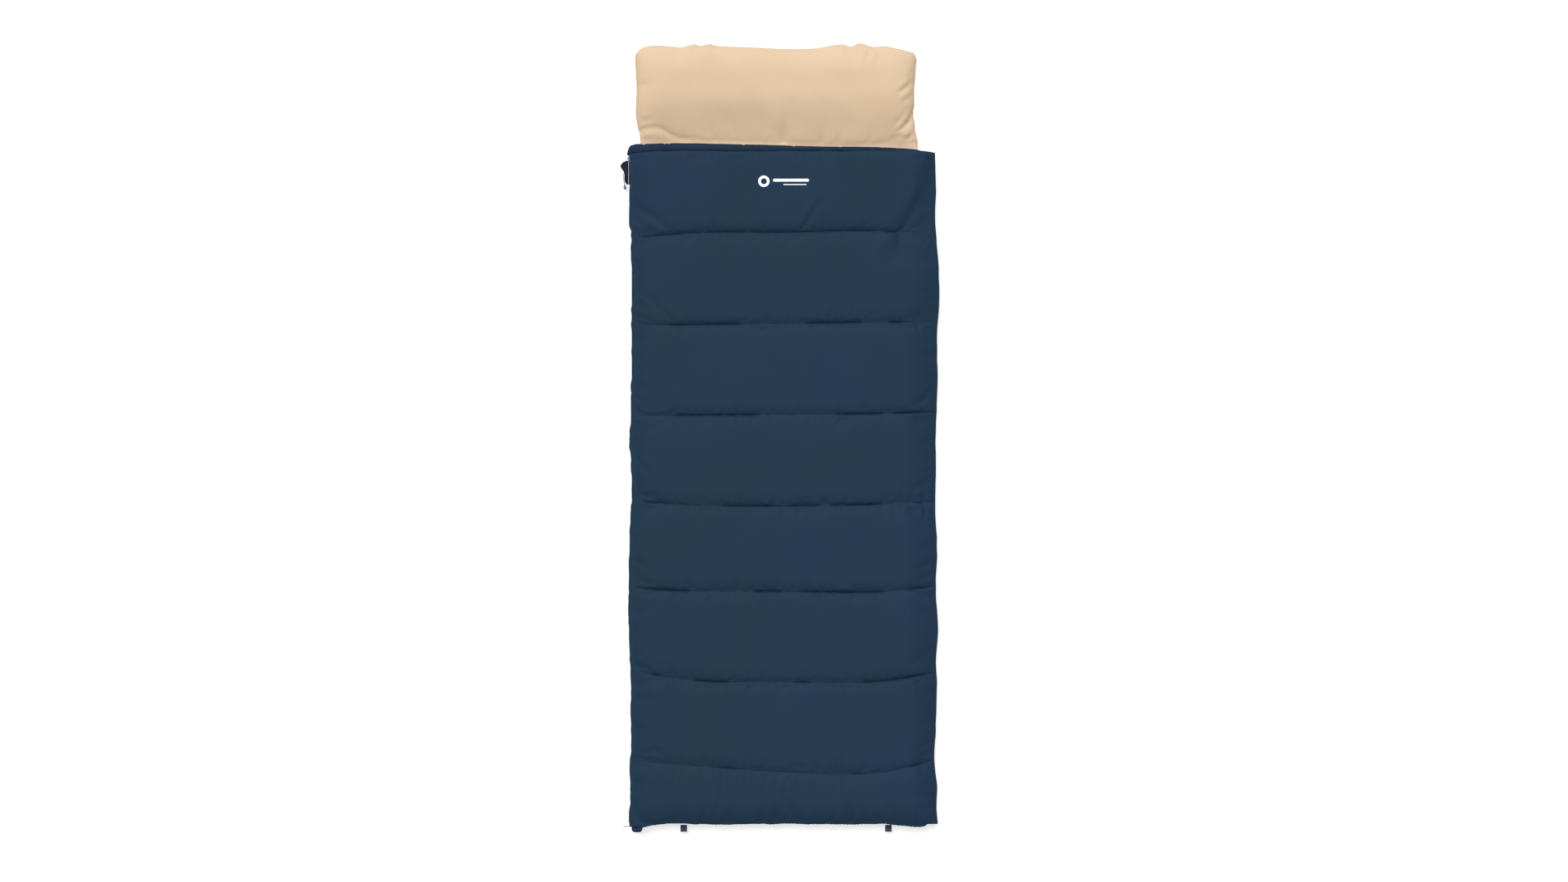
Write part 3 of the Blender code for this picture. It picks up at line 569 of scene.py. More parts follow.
def puff(distance, reach, power=2.3):
    """How full the padding is, from 0 at a seam to 1 a reach away from it."""
    return 1 - (1 - np.clip(distance / reach, 0, 1)) ** power


def round_over(distance, radius):
    """A quarter ellipse's rise, from 0 at an edge to 1 a radius away from it."""
    t = 1 - np.clip(distance / radius, 0, 1)
    return np.sqrt(np.clip(1 - t * t, 0, 1))


def trough(x, y, start, end, width, depth):
    """A crease in the cloth between two points, fading out at both ends."""
    (ax, ay), (bx, by) = start, end
    dx, dy = bx - ax, by - ay
    length = math.hypot(dx, dy)
    along = ((x - ax) * dx + (y - ay) * dy) / length
    across = (-(x - ax) * dy + (y - ay) * dx) / length
    fade = ease(along / (0.35 * length)) * ease((length - along) / (0.35 * length))
    bend = across + 0.004 * np.sin(along * 40)
    groove = np.exp(-((bend / width) ** 2))
    ridge = 0.6 * np.exp(-(((bend - 1.7 * width) / width) ** 2))
    return -depth * fade * (groove - ridge)


EDGE_BASE = GAP_TOP + 0.0026  # where the front's shell turns in under itself to the lining
BACK_EDGE = GAP_LOW - 0.0026  # the same on the back
TURN_IN = 0.010  # how wide the turned-in cloth is
EDGE_RISE = 0.0098  # the cloth's steep rise at the bag's edges
RIGHT_LIFT = 0.00126  # a little more beside the fold

# where the cloth folds over each quilting line and makes a dark crease, from the foot to the head
CREASES = (
    ((-0.198, -0.127), (0.191, 0.238), (0.356, 0.434)),
    ((-0.387, -0.347), (-0.269, -0.151), (0.026, 0.085), (0.215, 0.439)),
    ((-0.441, -0.257), (-0.092, 0.002), (0.038, 0.297), (0.352, 0.445)),
    ((-0.434, -0.316), (-0.186, -0.012), (0.004, 0.110), (0.130, 0.297), (0.380, 0.445)),
    ((-0.323, -0.060), (0.144, 0.300), (0.310, 0.445)),
    ((-0.340, -0.111), (0.061, 0.238), (0.297, 0.356)),
    ((-0.425, -0.230), (-0.236, -0.100), (-0.104, 0.110), (0.096, 0.280), (0.276, 0.400)),
)
FOLD_DEPTH = (0.8, 1.0, 1.0, 0.9, 1.0, 0.95, 0.62)


def creased(x, seam):
    """From 0 to 1: how far the cloth folds over a quilting line."""
    fold = np.zeros_like(x)
    for k, spans in enumerate(CREASES):
        here = np.zeros_like(x)
        for start, end in spans:
            here = np.maximum(here, ease((x - start) / 0.022) * ease((end - x) / 0.022))
        fold = np.where(seam == k, here * FOLD_DEPTH[k], fold)
    return fold


# slack folds in the front's cloth: two ends, width and depth
SLACK_FOLDS = (
    ((0.035, 0.722), (0.130, 0.835), 0.010, 0.0024),
    ((0.030, 0.470), (-0.005, 0.600), 0.009, 0.0016),
    ((-0.340, 0.470), (-0.390, 0.560), 0.012, 0.0014),
    ((-0.330, 0.730), (-0.405, 0.800), 0.012, 0.0016),
    ((0.165, 0.690), (0.190, 0.640), 0.007, 0.0012),
    ((-0.190, 0.190), (-0.175, 0.150), 0.006, 0.0014),
    ((0.040, -0.960), (-0.020, -0.880), 0.012, 0.0014),
    ((0.390, 0.420), (0.375, 0.500), 0.007, 0.0016),
    ((0.400, -0.120), (0.405, -0.020), 0.007, 0.0018),
    ((-0.425, 0.080), (-0.370, 0.030), 0.008, 0.0014),
    ((-0.430, -0.010), (-0.380, -0.035), 0.007, 0.0014),
)


def front_height(x, y, to_foot, to_head):
    """Height of the front's outer cloth. to_foot and to_head are the distances to the channel's two lines."""
    to_left = x - zip_left(y)
    to_right = right_edge(y) - x
    from_foot = y - zip_foot(x)
    from_groove = groove_at(x) - y
    left = puff(to_left, 0.080, 1.45)
    right = puff(to_right - 0.001, right_slope(y), 1.30)
    foot = puff(from_foot, 0.055, 2.0)
    channel_no = CHANNEL[:, None] + np.zeros_like(x)
    fold_foot = creased(x, channel_no - 1)
    fold_head = creased(x, channel_no)
    # the cloth dips a little beside every line, and cuts in sharply where it folds over the stitches
    loose_foot = 0.16 + 0.10 * (channel_no == HEAD_CHANNEL) + 0.05 * (channel_no == HEAD_CHANNEL - 1)
    loose_foot = loose_foot - 0.06 * (channel_no == 1)
    loose_head = 0.16 + 0.06 * fuzz(x, channel_no + 9, 0.13, 54)
    dips = loose_foot * np.exp(-to_foot / 0.034) * (channel_no > 0)
    dips += loose_head * np.exp(-to_head / 0.040) * (channel_no < HEAD_CHANNEL)
    cut_foot = 0.0016 + 0.0056 * fold_foot + 0.0006 * fuzz(x, channel_no, 0.03, 50)
    cut_head = 0.0016 + 0.0056 * fold_head + 0.0006 * fuzz(x, channel_no + 1, 0.03, 50)
    cuts = cut_foot * np.exp(-to_foot / 0.0036) * (channel_no > 0)
    cuts += cut_head * np.exp(-to_head / 0.0026) * (channel_no < HEAD_CHANNEL)
    sides = np.minimum(left, right) * foot
    crown = CREST - EDGE_BASE - EDGE_RISE - 0.0040
    belly = 0.93 + 0.05 * fuzz(x, y, 0.19, 55) + 0.025 * fuzz(x, y, 0.08, 56)
    rise = crown * (1 - dips) * sides * belly - cuts * (0.3 + 0.7 * sides)
    near = np.minimum(to_foot, to_head)
    key = np.where(to_foot < to_head, channel_no, channel_no + 1)
    # short puckers that run away from each seam
    pucker = fuzz(x, key * 5.1, 0.011, 57) + 0.7 * fuzz(x + 0.2 * near, key * 3.3, 0.024, 58)
    strong = 0.4 + 1.3 * np.clip(fuzz(x, key * 2.7, 0.14, 59) + 0.15, 0, 1) + 0.8 * (key == 4)
    rise += 0.0019 * strong * pucker * np.exp(-near / 0.014) * (1 - np.exp(-near / 0.002)) * sides**0.4
    # ripples that the zip's stitching draws into the left side
    ripple = fuzz(y, 0.5, 0.024, 61) + 0.6 * fuzz(y + 0.3 * to_left, 7.5, 0.012, 62)
    rise += 0.0013 * ripple * np.exp(-to_left / 0.020) * (1 - np.exp(-to_left / 0.004))
    # the drag fold at the head's right corner, and slack folds elsewhere
    beyond = (0.8778 * (x - 0.297) - 0.4790 * (y - 0.716)) / 0.060
    span = ease((y - 0.60) / 0.13) * ease((0.955 - y) / 0.05)
    rise -= 0.0130 * ease(beyond) * span * puff(to_right, 0.05, 1.3)
    for fold in SLACK_FOLDS:
        rise += trough(x, y, *fold)
    wall = EDGE_RISE * round_over(np.minimum(to_left, from_foot), 0.0070)
    right_wall = 0.35 * round_over(to_right, 0.008) + 0.65 * puff(to_right, 0.070, 1.2)
    wall = np.minimum(wall, EDGE_RISE * right_wall)
    tuck = (0.0024 + 0.0018 * fuzz(x, 0.5, 0.028, 43)) * np.exp(-from_groove / 0.004)
    tuck -= 0.0022 * np.clip(fuzz(x, 2.5, 0.045, 44), 0, 1) * np.exp(-(((from_groove - 0.010) / 0.007) ** 2))
    height = EDGE_BASE + wall + RIGHT_LIFT * round_over(to_right, 0.03) + rise - tuck
    return np.maximum(height, EDGE_BASE + wall + 0.12 * np.clip(to_right, 0, 0.05))


def stand_out(x, y, z):
    """The padding stands out over the zips, as far as the bag's outline."""
    high = ease((z - TAPE_HIGH) / 0.0022)
    near_left = np.exp(-np.clip(x - zip_left(y) - 0.007, 0, None) / 0.026)
    near_foot = np.exp(-np.clip(y - zip_foot(x) - 0.007, 0, None) / 0.026)
    out_x = (left_edge(y) - zip_left(y) - 0.0015 + 0.0015 * ease((y - 0.80) / 0.1)) * high * near_left
    out_y = (foot_edge(x) - zip_foot(x) - 0.0025) * high * near_foot
    return x + out_x, y + out_y


def back_height(x, y, to_foot, to_head):
    """Height of the back's outer cloth, which the ground presses flat."""
    to_left = x - zip_left(y)
    to_right = right_edge(y) - x
    from_foot = y - zip_foot(x)
    from_head = head_edge(x) - 0.002 - y
    sides = puff(np.minimum(to_left, from_foot), 0.045, 2.2) * puff(to_right, 0.060, 2.0)
    channel = puff(to_foot, 0.036, 2.8) * puff(to_head, 0.036, 2.8)
    near = np.minimum(to_foot, to_head)
    pucker = fuzz(x, CHANNEL[:, None] * 3.1 + 50, 0.019, 71)
    pucker = pucker * np.exp(-near / 0.02) * (1 - np.exp(-near / 0.004))
    drop = 0.0098 * round_over(np.minimum(np.minimum(to_left, from_foot), from_head), 0.0075)
    drop = np.minimum(drop, 0.0098 * round_over(to_right, 0.010))
    belly = 0.0245 * channel * sides * (1 + 0.04 * fuzz(x, y, 0.17, 72))
    ground = 0.0003 + 0.0002 * (1 + fuzz(x, y, 0.05, 73))
    return np.maximum(BACK_EDGE - drop - 0.0012 - belly + 0.001 * pucker, ground)


# ---- the shell: front, fold and back in one cloth ----

SIDE_NEAR = (0.0, 0.0008, 0.0020, 0.0040, 0.0070, 0.0110, 0.0165, 0.0235, 0.0320)
COLS = spread_between(RIGHT - LEFT, SIDE_NEAR, 0.0052)


def place_columns(lines):
    """x and y of a half's grid: the columns run between the two sides, which the rows bend along."""
    x = LEFT + (RIGHT - LEFT) * COLS[None, :] * np.ones((len(ROWS), 1))
    for _ in range(3):
        y = row_y(lines, x)
        left, right = zip_left(y), right_edge(y)
        x = left + (right - left) * COLS[None, :]
    return x, y


def settle(obj, sewn, frames, pressure, longer, quality, mass, damping, stretch, shear, bending, cap):
    """An object's points, and how far they move, within a cap, as it settles as cloth over its padding.

    sewn holds a weight for each point, from 0 where it is free to 1 where it is held.
    """
    count = len(obj.data.vertices)
    rest = np.empty(count * 3)
    obj.data.vertices.foreach_get("co", rest)
    group = obj.vertex_groups.new(name="sewn")
    levels = np.round(sewn, 2)
    for level in np.unique(levels):
        if level > 0:
            group.add(np.nonzero(levels == level)[0].tolist(), float(level), "REPLACE")
    step = obj.modifiers.new("cloth", "CLOTH")
    settings = step.settings
    settings.quality = quality
    settings.mass = mass
    settings.air_damping = damping
    settings.tension_stiffness = stretch
    settings.compression_stiffness = stretch
    settings.shear_stiffness = shear
    settings.bending_stiffness = bending
    settings.vertex_group_mass = "sewn"
    settings.shrink_min = -longer
    settings.use_pressure = True
    settings.uniform_pressure_force = pressure
    settings.effector_weights.gravity = 0.0
    step.collision_settings.use_collision = False
    step.point_cache.frame_start = 1
    step.point_cache.frame_end = frames
    for f in range(1, frames + 1):
        scene.frame_set(f)
    graph = bpy.context.evaluated_depsgraph_get()
    moved = np.empty(count * 3)
    obj.evaluated_get(graph).data.vertices.foreach_get("co", moved)
    obj.modifiers.remove(step)
    obj.vertex_groups.clear()
    scene.frame_set(1)
    moved = np.nan_to_num(moved - rest).reshape(-1, 3)
    far = np.linalg.norm(moved, axis=1, keepdims=True)
    return rest.reshape(-1, 3), moved * (cap * np.tanh(far / cap) / np.maximum(far, 1e-9))


BACK_LINES = [zip_foot, *seam_lines, lambda x: head_edge(x) - 0.002]

front_x, front_y = place_columns(FRONT_LINES)
to_foot, to_head = seam_distances(FRONT_LINES, front_x)
front_z = front_height(front_x, front_y, to_foot, to_head)
back_x, back_y = place_columns(BACK_LINES)
back_foot, back_head = seam_distances(BACK_LINES, back_x)
back_z = back_height(back_x, back_y, back_foot, back_head)

near_line = np.minimum(to_foot, to_head)
near_side = np.minimum(front_x - zip_left(front_y), right_edge(front_y) - front_x)
free = ease(near_line / 0.010) * ease((near_side - 0.006) / 0.012)
flat = np.stack([front_x, front_y, front_z], 2)
cloth_sheet = mesh_object("front_cloth", flat.reshape(-1, 3), grid_faces(*front_x.shape))
_, shift = settle(
    cloth_sheet, 1 - free.ravel(), frames=16, pressure=0.9, longer=0.02, quality=5, mass=0.08, damping=4,
    stretch=12, shear=4, bending=0.02, cap=0.0035,
)
bpy.data.objects.remove(cloth_sheet)
front_x, front_y, front_z = np.moveaxis(flat + shift.reshape(flat.shape), 2, 0)

front_x, front_y = stand_out(front_x, front_y, front_z)

# the cloth stays inside the zip cover's stitching, so that the cover can lift
hinge = [j for j in frame["joints"] if j["name"] == "cover_lift"][0]["pos_m"]
cover_low, cover_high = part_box("zip_cover")
beside_cover = ease((front_y - cover_low.y + 0.030) / 0.025)
beside_cover *= ease((cover_high.y + 0.030 - front_y) / 0.025)
wall_foot = GAP_TOP + 0.008  # below this the cloth may stand out under the cover
held_back = hinge[0] + 0.0042 - 0.02 * (1 - beside_cover)
front_x = np.where(front_z > wall_foot, np.maximum(front_x, held_back), front_x)
under_cover = hinge[2] - 0.0085 + 2.6 * (front_x - hinge[0]) + 0.04 * (1 - beside_cover)
front_z = np.where(front_z > wall_foot, np.maximum(np.minimum(front_z, under_cover), wall_foot), front_z)

FOLD_STEPS = 9


def column(x, y, z):
    """The points of one column of the shell, from the foot to the head."""
    return np.stack([x, y, np.zeros(len(ROWS)) + z], 1)


def shell_sheet():
    """The columns from under the front's left side, over the front, round the fold and across the back."""
    columns = [column(front_x[:, 0] + inward, front_y[:, 0], EDGE_BASE) for inward in (TURN_IN, 0.0006)]
    columns += [column(front_x[:, c], front_y[:, c], front_z[:, c]) for c in range(front_x.shape[1] - 1)]
    for k in range(FOLD_STEPS + 1):
        t = k / FOLD_STEPS
        x = front_x[:, -1] * (1 - t) + back_x[:, -1] * t
        y = front_y[:, -1] * (1 - t) + back_y[:, -1] * t
        columns.append(column(x + 0.0006 * math.sin(math.pi * t), y, GAP_TOP + (GAP_LOW - GAP_TOP) * t))
    columns += [column(back_x[:, c], back_y[:, c], back_z[:, c]) for c in range(back_x.shape[1] - 2, -1, -1)]
    columns += [column(back_x[:, 0] + inward, back_y[:, 0], BACK_EDGE) for inward in (0.0006, TURN_IN)]
    return np.stack(columns, 1)


sheet = shell_sheet()
fold_start = 2 + front_x.shape[1] - 1


def turned_in(row, inward):
    """A row's cloth turned in under itself at the foot or head, towards the lining."""
    under = row.copy()
    beyond = np.arange(len(row)) - fold_start
    round_fold = (beyond >= 0) & (beyond <= FOLD_STEPS)
    under[:, 1] += inward
    under[:, 2] = np.where(round_fold, row[:, 2], np.where(beyond < 0, EDGE_BASE, BACK_EDGE))
    under[(beyond > 0) & (beyond < FOLD_STEPS), 0] -= 0.004
    return under


foot_turn = [turned_in(sheet[0], TURN_IN), turned_in(sheet[0], 0.0008)]
head_turn = [turned_in(sheet[-1], -0.0008), turned_in(sheet[-1], -TURN_IN)]
sheet = np.stack([*foot_turn, *sheet, *head_turn])
shell = mesh_object("quilt_shell", sheet.reshape(-1, 3), grid_faces(*sheet.shape[:2]))
dress(shell, NAVY)
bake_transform(shell)
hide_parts("front_shell", "front_batting", "back_shell", "back_batting", "side_fold")

shell_tree = BVHTree.FromPolygons(
    [tuple(v.co) for v in shell.data.vertices], [tuple(p.vertices) for p in shell.data.polygons]
)


def on_shell(x, y, lift=0.0):
    """A height just above the front's outer cloth."""
    hit = shell_tree.ray_cast(Vector((x, y, 0.3)), Vector((0, 0, -1)))
    return hit[0].z + lift


# ---- the lining: one brushed cloth, quilted on the same lines ----


def lining_sheet():
    """The front's and the back's lining, joined round the fold inside the shell."""
    inset_left, inset_right = 0.0022, 0.0105
    cols = np.linspace(0, 1, 74)
    columns = []
    for lines, up in ((FRONT_LINES, 1), (BACK_LINES, -1)):
        y_mid = row_y(lines, np.zeros((len(ROWS), 1)))
        start, end = zip_left(y_mid) + inset_left, right_edge(y_mid) - inset_right
        x = start + (end - start) * cols
        y = row_y(lines, x)
        foot, head = seam_distances(lines, x)
        y = y + 0.0022 * ease((0.004 - foot) / 0.004) * (CHANNEL[:, None] == 0)
        near = np.minimum(foot, head)
        seam = np.exp(-((near / 0.014) ** 1.2))
        edge = np.minimum(x - zip_left(y), right_edge(y) - x)
        rumple = 0.0011 * (1 + fuzz(x, y + up, 0.045, 81)) * (1 - seam)
        rumple += 0.0007 * (1 + fuzz(x, y + up, 0.02, 82))
        pucker = 0.0006 * (1 + fuzz(x, CHANNEL[:, None] * 3.7 + up, 0.016, 83)) * np.exp(-near / 0.02)
        sink = (0.0056 * seam + 0.8 * rumple + pucker) * ease((edge - 0.002) / 0.02)
        z = (GAP_TOP if up > 0 else GAP_LOW) + up * np.minimum(sink, 0.0075)
        block = np.stack([x, y, z], 2)
        columns.append(block if up > 0 else block[:, ::-1])
    front, back = columns
    steps = []
    for k in range(1, FOLD_STEPS + 2):
        t = k / (FOLD_STEPS + 2)
        mix = front[:, -1] * (1 - t) + back[:, 0] * t
        mix[:, 0] += 0.004 * math.sin(math.pi * t)
        steps.append(mix)
    return np.concatenate([front, np.stack(steps, 1), back], 1)


lining_points = lining_sheet()
lining = mesh_object(
    "quilt_lining", lining_points.reshape(-1, 3), grid_faces(*lining_points.shape[:2], flip=True)
)
dress(lining, BEIGE)
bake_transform(lining)
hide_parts("front_lining", "back_lining")

# ---- the rolled hem at the front's head edge ----


def hem_ring(x, narrow):
    """A section of the roll, drawn in to a share of its width."""
    low, high = float(groove_at(x)) - 0.0010 + 0.0014 * float(fuzz(x, 0.5, 0.024, 93)), float(head_edge(x))
    middle, reach = (low + high) / 2, (high - low) / 2 * narrow
    top = HEM_TOP + 0.0006 * float(fuzz(x, 0.5, 0.05, 91)) - 0.004 * ease((x - 0.25) / 0.15)
    base = GAP_TOP + 0.0004
    centre, tall = (top + base) / 2, (top - base) / 2 * (0.35 + 0.65 * narrow)
    ring = []
    for k in range(20):
        a = 2 * math.pi * k / 20
        c, s = math.cos(a), math.sin(a)
        across = math.copysign(abs(c) ** 0.7, c)
        up = math.copysign(abs(s) ** 0.7, s)
        wave = 1 + 0.03 * float(fuzz(x, k * 0.02, 0.03, 92))
        ring.append((x, middle + reach * across * wave, centre + tall * up))
    return ring


# x and share of the full width where the roll's left end narrows
HEM_END = (
    (-0.4508, 0.35), (-0.4503, 0.62), (-0.4492, 0.82), (-0.4475, 0.93), (-0.4450, 0.98), (-0.4420, 1.0),
)
hem_xs = [*[x for x, _ in HEM_END], *np.arange(-0.4385, 0.4300, 0.0035)]
hem_narrow = [narrow for _, narrow in HEM_END] + [1.0] * (len(hem_xs) - len(HEM_END))
HEM_PINCHES = (-0.403, -0.342, -0.330, -0.115, 0.030, 0.165, 0.285)
rings = []
for x, narrow in zip(hem_xs, hem_narrow):
    pull = sum(0.20 * math.exp(-(((x - p) / 0.0032) ** 2)) for p in HEM_PINCHES)
    end = ease((0.432 - x) / 0.012)
    rings.append(hem_ring(float(x), float((narrow - pull) * (0.4 + 0.6 * end))))
hem = tube("head_hem_roll", rings)
# the roll takes the shell's navy darkened with painted shade
dress(hem, NAVY_HEM_SHADED, "front", ["head_hem"])

# ---- the pillow ----

pillow_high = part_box("pillow_case_top")[1]
PILLOW_SEAM_Z = MID_Z - 0.0005
GROUND_GAP = 0.0004  # the cloth stays this far above the ground
PILLOW_TUCK = 0.0045  # how far the pillow's foot runs under the bag's head
pillow_left = through(
    (0.965, 0.995, 1.015, 1.045, 1.075, 1.110, 1.150, 1.190, 1.220, 1.245, 1.262, 1.275),
    (-0.4120, -0.4135, -0.4165, -0.4215, -0.4250, -0.4235, -0.4220, -0.4235, -0.4250, -0.4245, -0.4190,
     -0.4040),
)
pillow_right = through(
    (0.960, 0.985, 1.010, 1.040, 1.075, 1.100, 1.140, 1.180, 1.215, 1.235, 1.252, 1.262),
    (0.3875, 0.3880, 0.3845, 0.3815, 0.3775, 0.3790, 0.3780, 0.3800, 0.3815, 0.3850, 0.3835, 0.3640),
)
pillow_head = through(
    (-0.425, -0.405, -0.38, -0.33, -0.295, -0.265, -0.245, -0.222, -0.20, -0.15, -0.06, 0.02, 0.08, 0.12,
     0.15, 0.183, 0.205, 0.225, 0.245, 0.268, 0.30, 0.34, 0.365, 0.385),
    (1.2660, 1.2705, 1.2715, 1.2700, 1.2685, 1.2765, 1.2720, 1.2775, 1.2730, 1.2700, 1.2670, 1.2635,
     1.2640, 1.2680, 1.2740, 1.2755, 1.2700, 1.2790, 1.2755, 1.2690, 1.2700, 1.2635, 1.2600, 1.2500),
)
PILLOW_COLS, PILLOW_ROWS = 118, 54


def pillow_middle(u):
    """x at the pillow's mid length for a share across it."""
    return -0.42 + 0.80 * u


def pillow_plan(u, v):
    """x and y for shares across and along the pillow, whose corners are rounded."""
    foot = head_edge((u - 0.5) * 0.8) - PILLOW_TUCK
    head = pillow_head(pillow_middle(u))
    y = foot + (head - foot) * v
    left, right = pillow_left(y), pillow_right(y)
    x = left + (right - left) * u
    corner = ease((v - 0.86) / 0.14) * ease((np.abs(u - 0.5) - 0.40) / 0.10)
    x = x - np.sign(u - 0.5) * 0.010 * corner * corner
    y = y - 0.004 * corner * corner
    return x, y


# folds where the case is gathered at its right end, and slack elsewhere: two ends, width and depth
PILLOW_FOLDS = (
    ((0.322, 1.122), (0.392, 1.192), 0.0070, 0.0068),
    ((0.338, 1.100), (0.384, 1.148), 0.0080, 0.0050),
    ((0.326, 1.014), (0.388, 1.090), 0.0058, 0.0100),
    ((0.350, 0.992), (0.392, 1.040), 0.0060, 0.0060),
    ((0.352, 1.165), (0.380, 1.215), 0.0080, 0.0034),
    ((0.176, 1.292), (0.198, 1.228), 0.0062, 0.0066),
    ((0.266, 1.292), (0.236, 1.208), 0.0080, 0.0050),
    ((-0.262, 1.285), (-0.250, 1.225), 0.0075, 0.0022),
    ((-0.310, 1.285), (-0.300, 1.240), 0.0070, 0.0018),
    ((-0.428, 1.150), (-0.385, 1.165), 0.0080, 0.0022),
    ((-0.420, 1.050), (-0.370, 1.062), 0.0090, 0.0018),
)


def pillow_folds(x, y):
    """Folds and rumples of the pillow's case."""
    bump = sum(trough(x, y, *fold) for fold in PILLOW_FOLDS)
    bump += 0.0028 * fuzz(x, y, 0.13, 95) + 0.0014 * fuzz(x + 0.3 * y, y, 0.05, 96)
    low = np.exp(-(((y - head_edge(x)) / 0.05) ** 2))
    bump += 0.0016 * low * fuzz(x, 0.4 * y, 0.022, 97)
    return bump


def pillow_surfaces():
    """x, y and the heights of the case's upper and lower cloth."""
    edge = np.array([0.0, 0.004, 0.010, 0.018])
    u = np.concatenate([edge, np.linspace(0.028, 0.972, PILLOW_COLS - 8), 1 - edge[::-1]])
    edge_v = np.array([0.0, 0.008, 0.022, 0.042])
    v = np.concatenate([edge_v, np.linspace(0.066, 0.934, PILLOW_ROWS - 8), 1 - edge_v[::-1]])
    uu, vv = np.meshgrid(u, v)
    x, y = pillow_plan(uu, vv)
    left, right = x - pillow_left(y), pillow_right(y) - x
    x_mid = pillow_middle(uu)
    from_head = pillow_head(x_mid) - y
    from_foot = y - (head_edge(x_mid) - PILLOW_TUCK)
    ends = round_over(np.clip(np.minimum(left, right), 0, 1), 0.075) ** 0.9
    far = round_over(np.clip(from_head, 0, 1), 0.085) ** 0.9
    near = ease(np.clip(from_foot - 0.004, 0, 1) / 0.165) ** 0.80
    full = np.clip(ends, 0, 1) * np.clip(far, 0, 1) * np.clip(near, 0, 1)
    rim = np.minimum(np.minimum(left, right), np.minimum(from_head, from_foot * 1.2))
    lively = ease(rim / 0.02)
    top_z = PILLOW_SEAM_Z + (pillow_high.z - PILLOW_SEAM_Z - 0.0035) * full + pillow_folds(x, y) * lively
    under = round_over(np.clip(np.minimum(np.minimum(left, right), from_head), 0, 1), 0.055)
    low_full = np.clip(under, 0, 1) * ease(np.clip(from_foot - 0.012, 0, 1) / 0.055)
    low_z = PILLOW_SEAM_Z - 0.0016 - (PILLOW_SEAM_Z - 0.0024) * np.clip(low_full, 0, 1)
    return x, y, top_z, np.maximum(low_z, GROUND_GAP)


pillow_x, pillow_y, pillow_top, pillow_low_z = pillow_surfaces()


def closed_pillow():
    """The case's upper and lower cloth, joined round their border."""
    rows, cols = pillow_x.shape
    top = np.stack([pillow_x, pillow_y, pillow_top], 2).reshape(-1, 3)
    low = np.stack([pillow_x, pillow_y, pillow_low_z], 2).reshape(-1, 3)
    points = np.concatenate([top, low])
    faces = grid_faces(rows, cols) + grid_faces(rows, cols, rows * cols, flip=True)
    border = list(range(cols)) + [r * cols + cols - 1 for r in range(1, rows)]
    border += [(rows - 1) * cols + c for c in range(cols - 2, -1, -1)]
    border += [r * cols for r in range(rows - 2, 0, -1)]
    shift = rows * cols
    for a, b in zip(border, border[1:] + border[:1]):
        faces.append((b, a, a + shift, b + shift))
    return mesh_object("pillow_case", points, faces)


pillow = closed_pillow()
points = np.array([v.co for v in pillow.data.vertices])
held = (points[:, 1] < head_edge(points[:, 0]) + 0.012) * 1.0
points, shift = settle(
    pillow, held, frames=14, pressure=1.2, longer=0.012, quality=6, mass=0.1, damping=3,
    stretch=18, shear=6, bending=0.05, cap=0.005,
)
points += shift
points[:, 2] = np.maximum(points[:, 2], GROUND_GAP)
pillow.data.vertices.foreach_set("co", points.ravel())
pillow.data.update()
dress(pillow, CASE)
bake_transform(pillow)
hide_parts("pillow_case_top", "pillow_case_bottom", "pillow_fill")

# ---- zips ----

TOOTH_PITCH = 0.0030
TOOTH_RADIUS = 0.00042
TAPE_THICKNESS = 0.0006
TAPE_STEP = 0.006


def tape_strip(name, path, low, high, inward):
    """A woven tape standing on edge along a path of (x, y) points."""
    rings = []
    for x, y in path:
        far_x, far_y = x + inward[0] * TAPE_THICKNESS, y + inward[1] * TAPE_THICKNESS
        rings.append([(x, y, low), (far_x, far_y, low), (far_x, far_y, high), (x, y, high)])
    return tube(name, rings, smooth=False)


def coil(name, path, along, up, outward):
    """One row of a coil zip: small bent teeth that reach to the closing line, stitched to the tape."""
    points, faces = [], []
    along, out = np.array((*along, 0.0)), np.array((*outward, 0.0))
    tip = out * 0.8 + np.array((0, 0, up * 0.5))
    for x, y in path:
        base = len(points)
        for t in range(5):
            a = math.pi * t / 4
            rise = up * (0.0009 + 0.0023 * (0.5 + 0.5 * math.cos(a)))
            centre = np.array((x, y, MID_Z + rise)) + out * (0.0005 + 0.0011 * math.sin(a))
            for side, lift in ((-1, 0), (0, 1), (1, 0), (0, -1)):
                points.append(centre + along * side * TOOTH_RADIUS + tip * lift * TOOTH_RADIUS)
        for t in range(4):
            for s in range(4):
                a, b = base + t * 4 + s, base + t * 4 + (s + 1) % 4
                faces.append((a, b, b + 4, a + 4))
        faces.append((base, base + 1, base + 2, base + 3))
        faces.append((base + 16, base + 19, base + 18, base + 17))
    return mesh_object(name, points, faces)


def spots(start, end, step):
    """Even places along a zip, without its end."""
    return np.arange(start, end, step).tolist()


def side_path(places):
    return [(float(tape_line(y)), y) for y in places]


def foot_path(places):
    return [(x, float(foot_tape(x))) for x in places]


tape_reach = TAPE_HIGH - MID_Z
tape_start = TAPE_LOW - MID_Z
back_span = (MID_Z - tape_reach, MID_Z - tape_start)

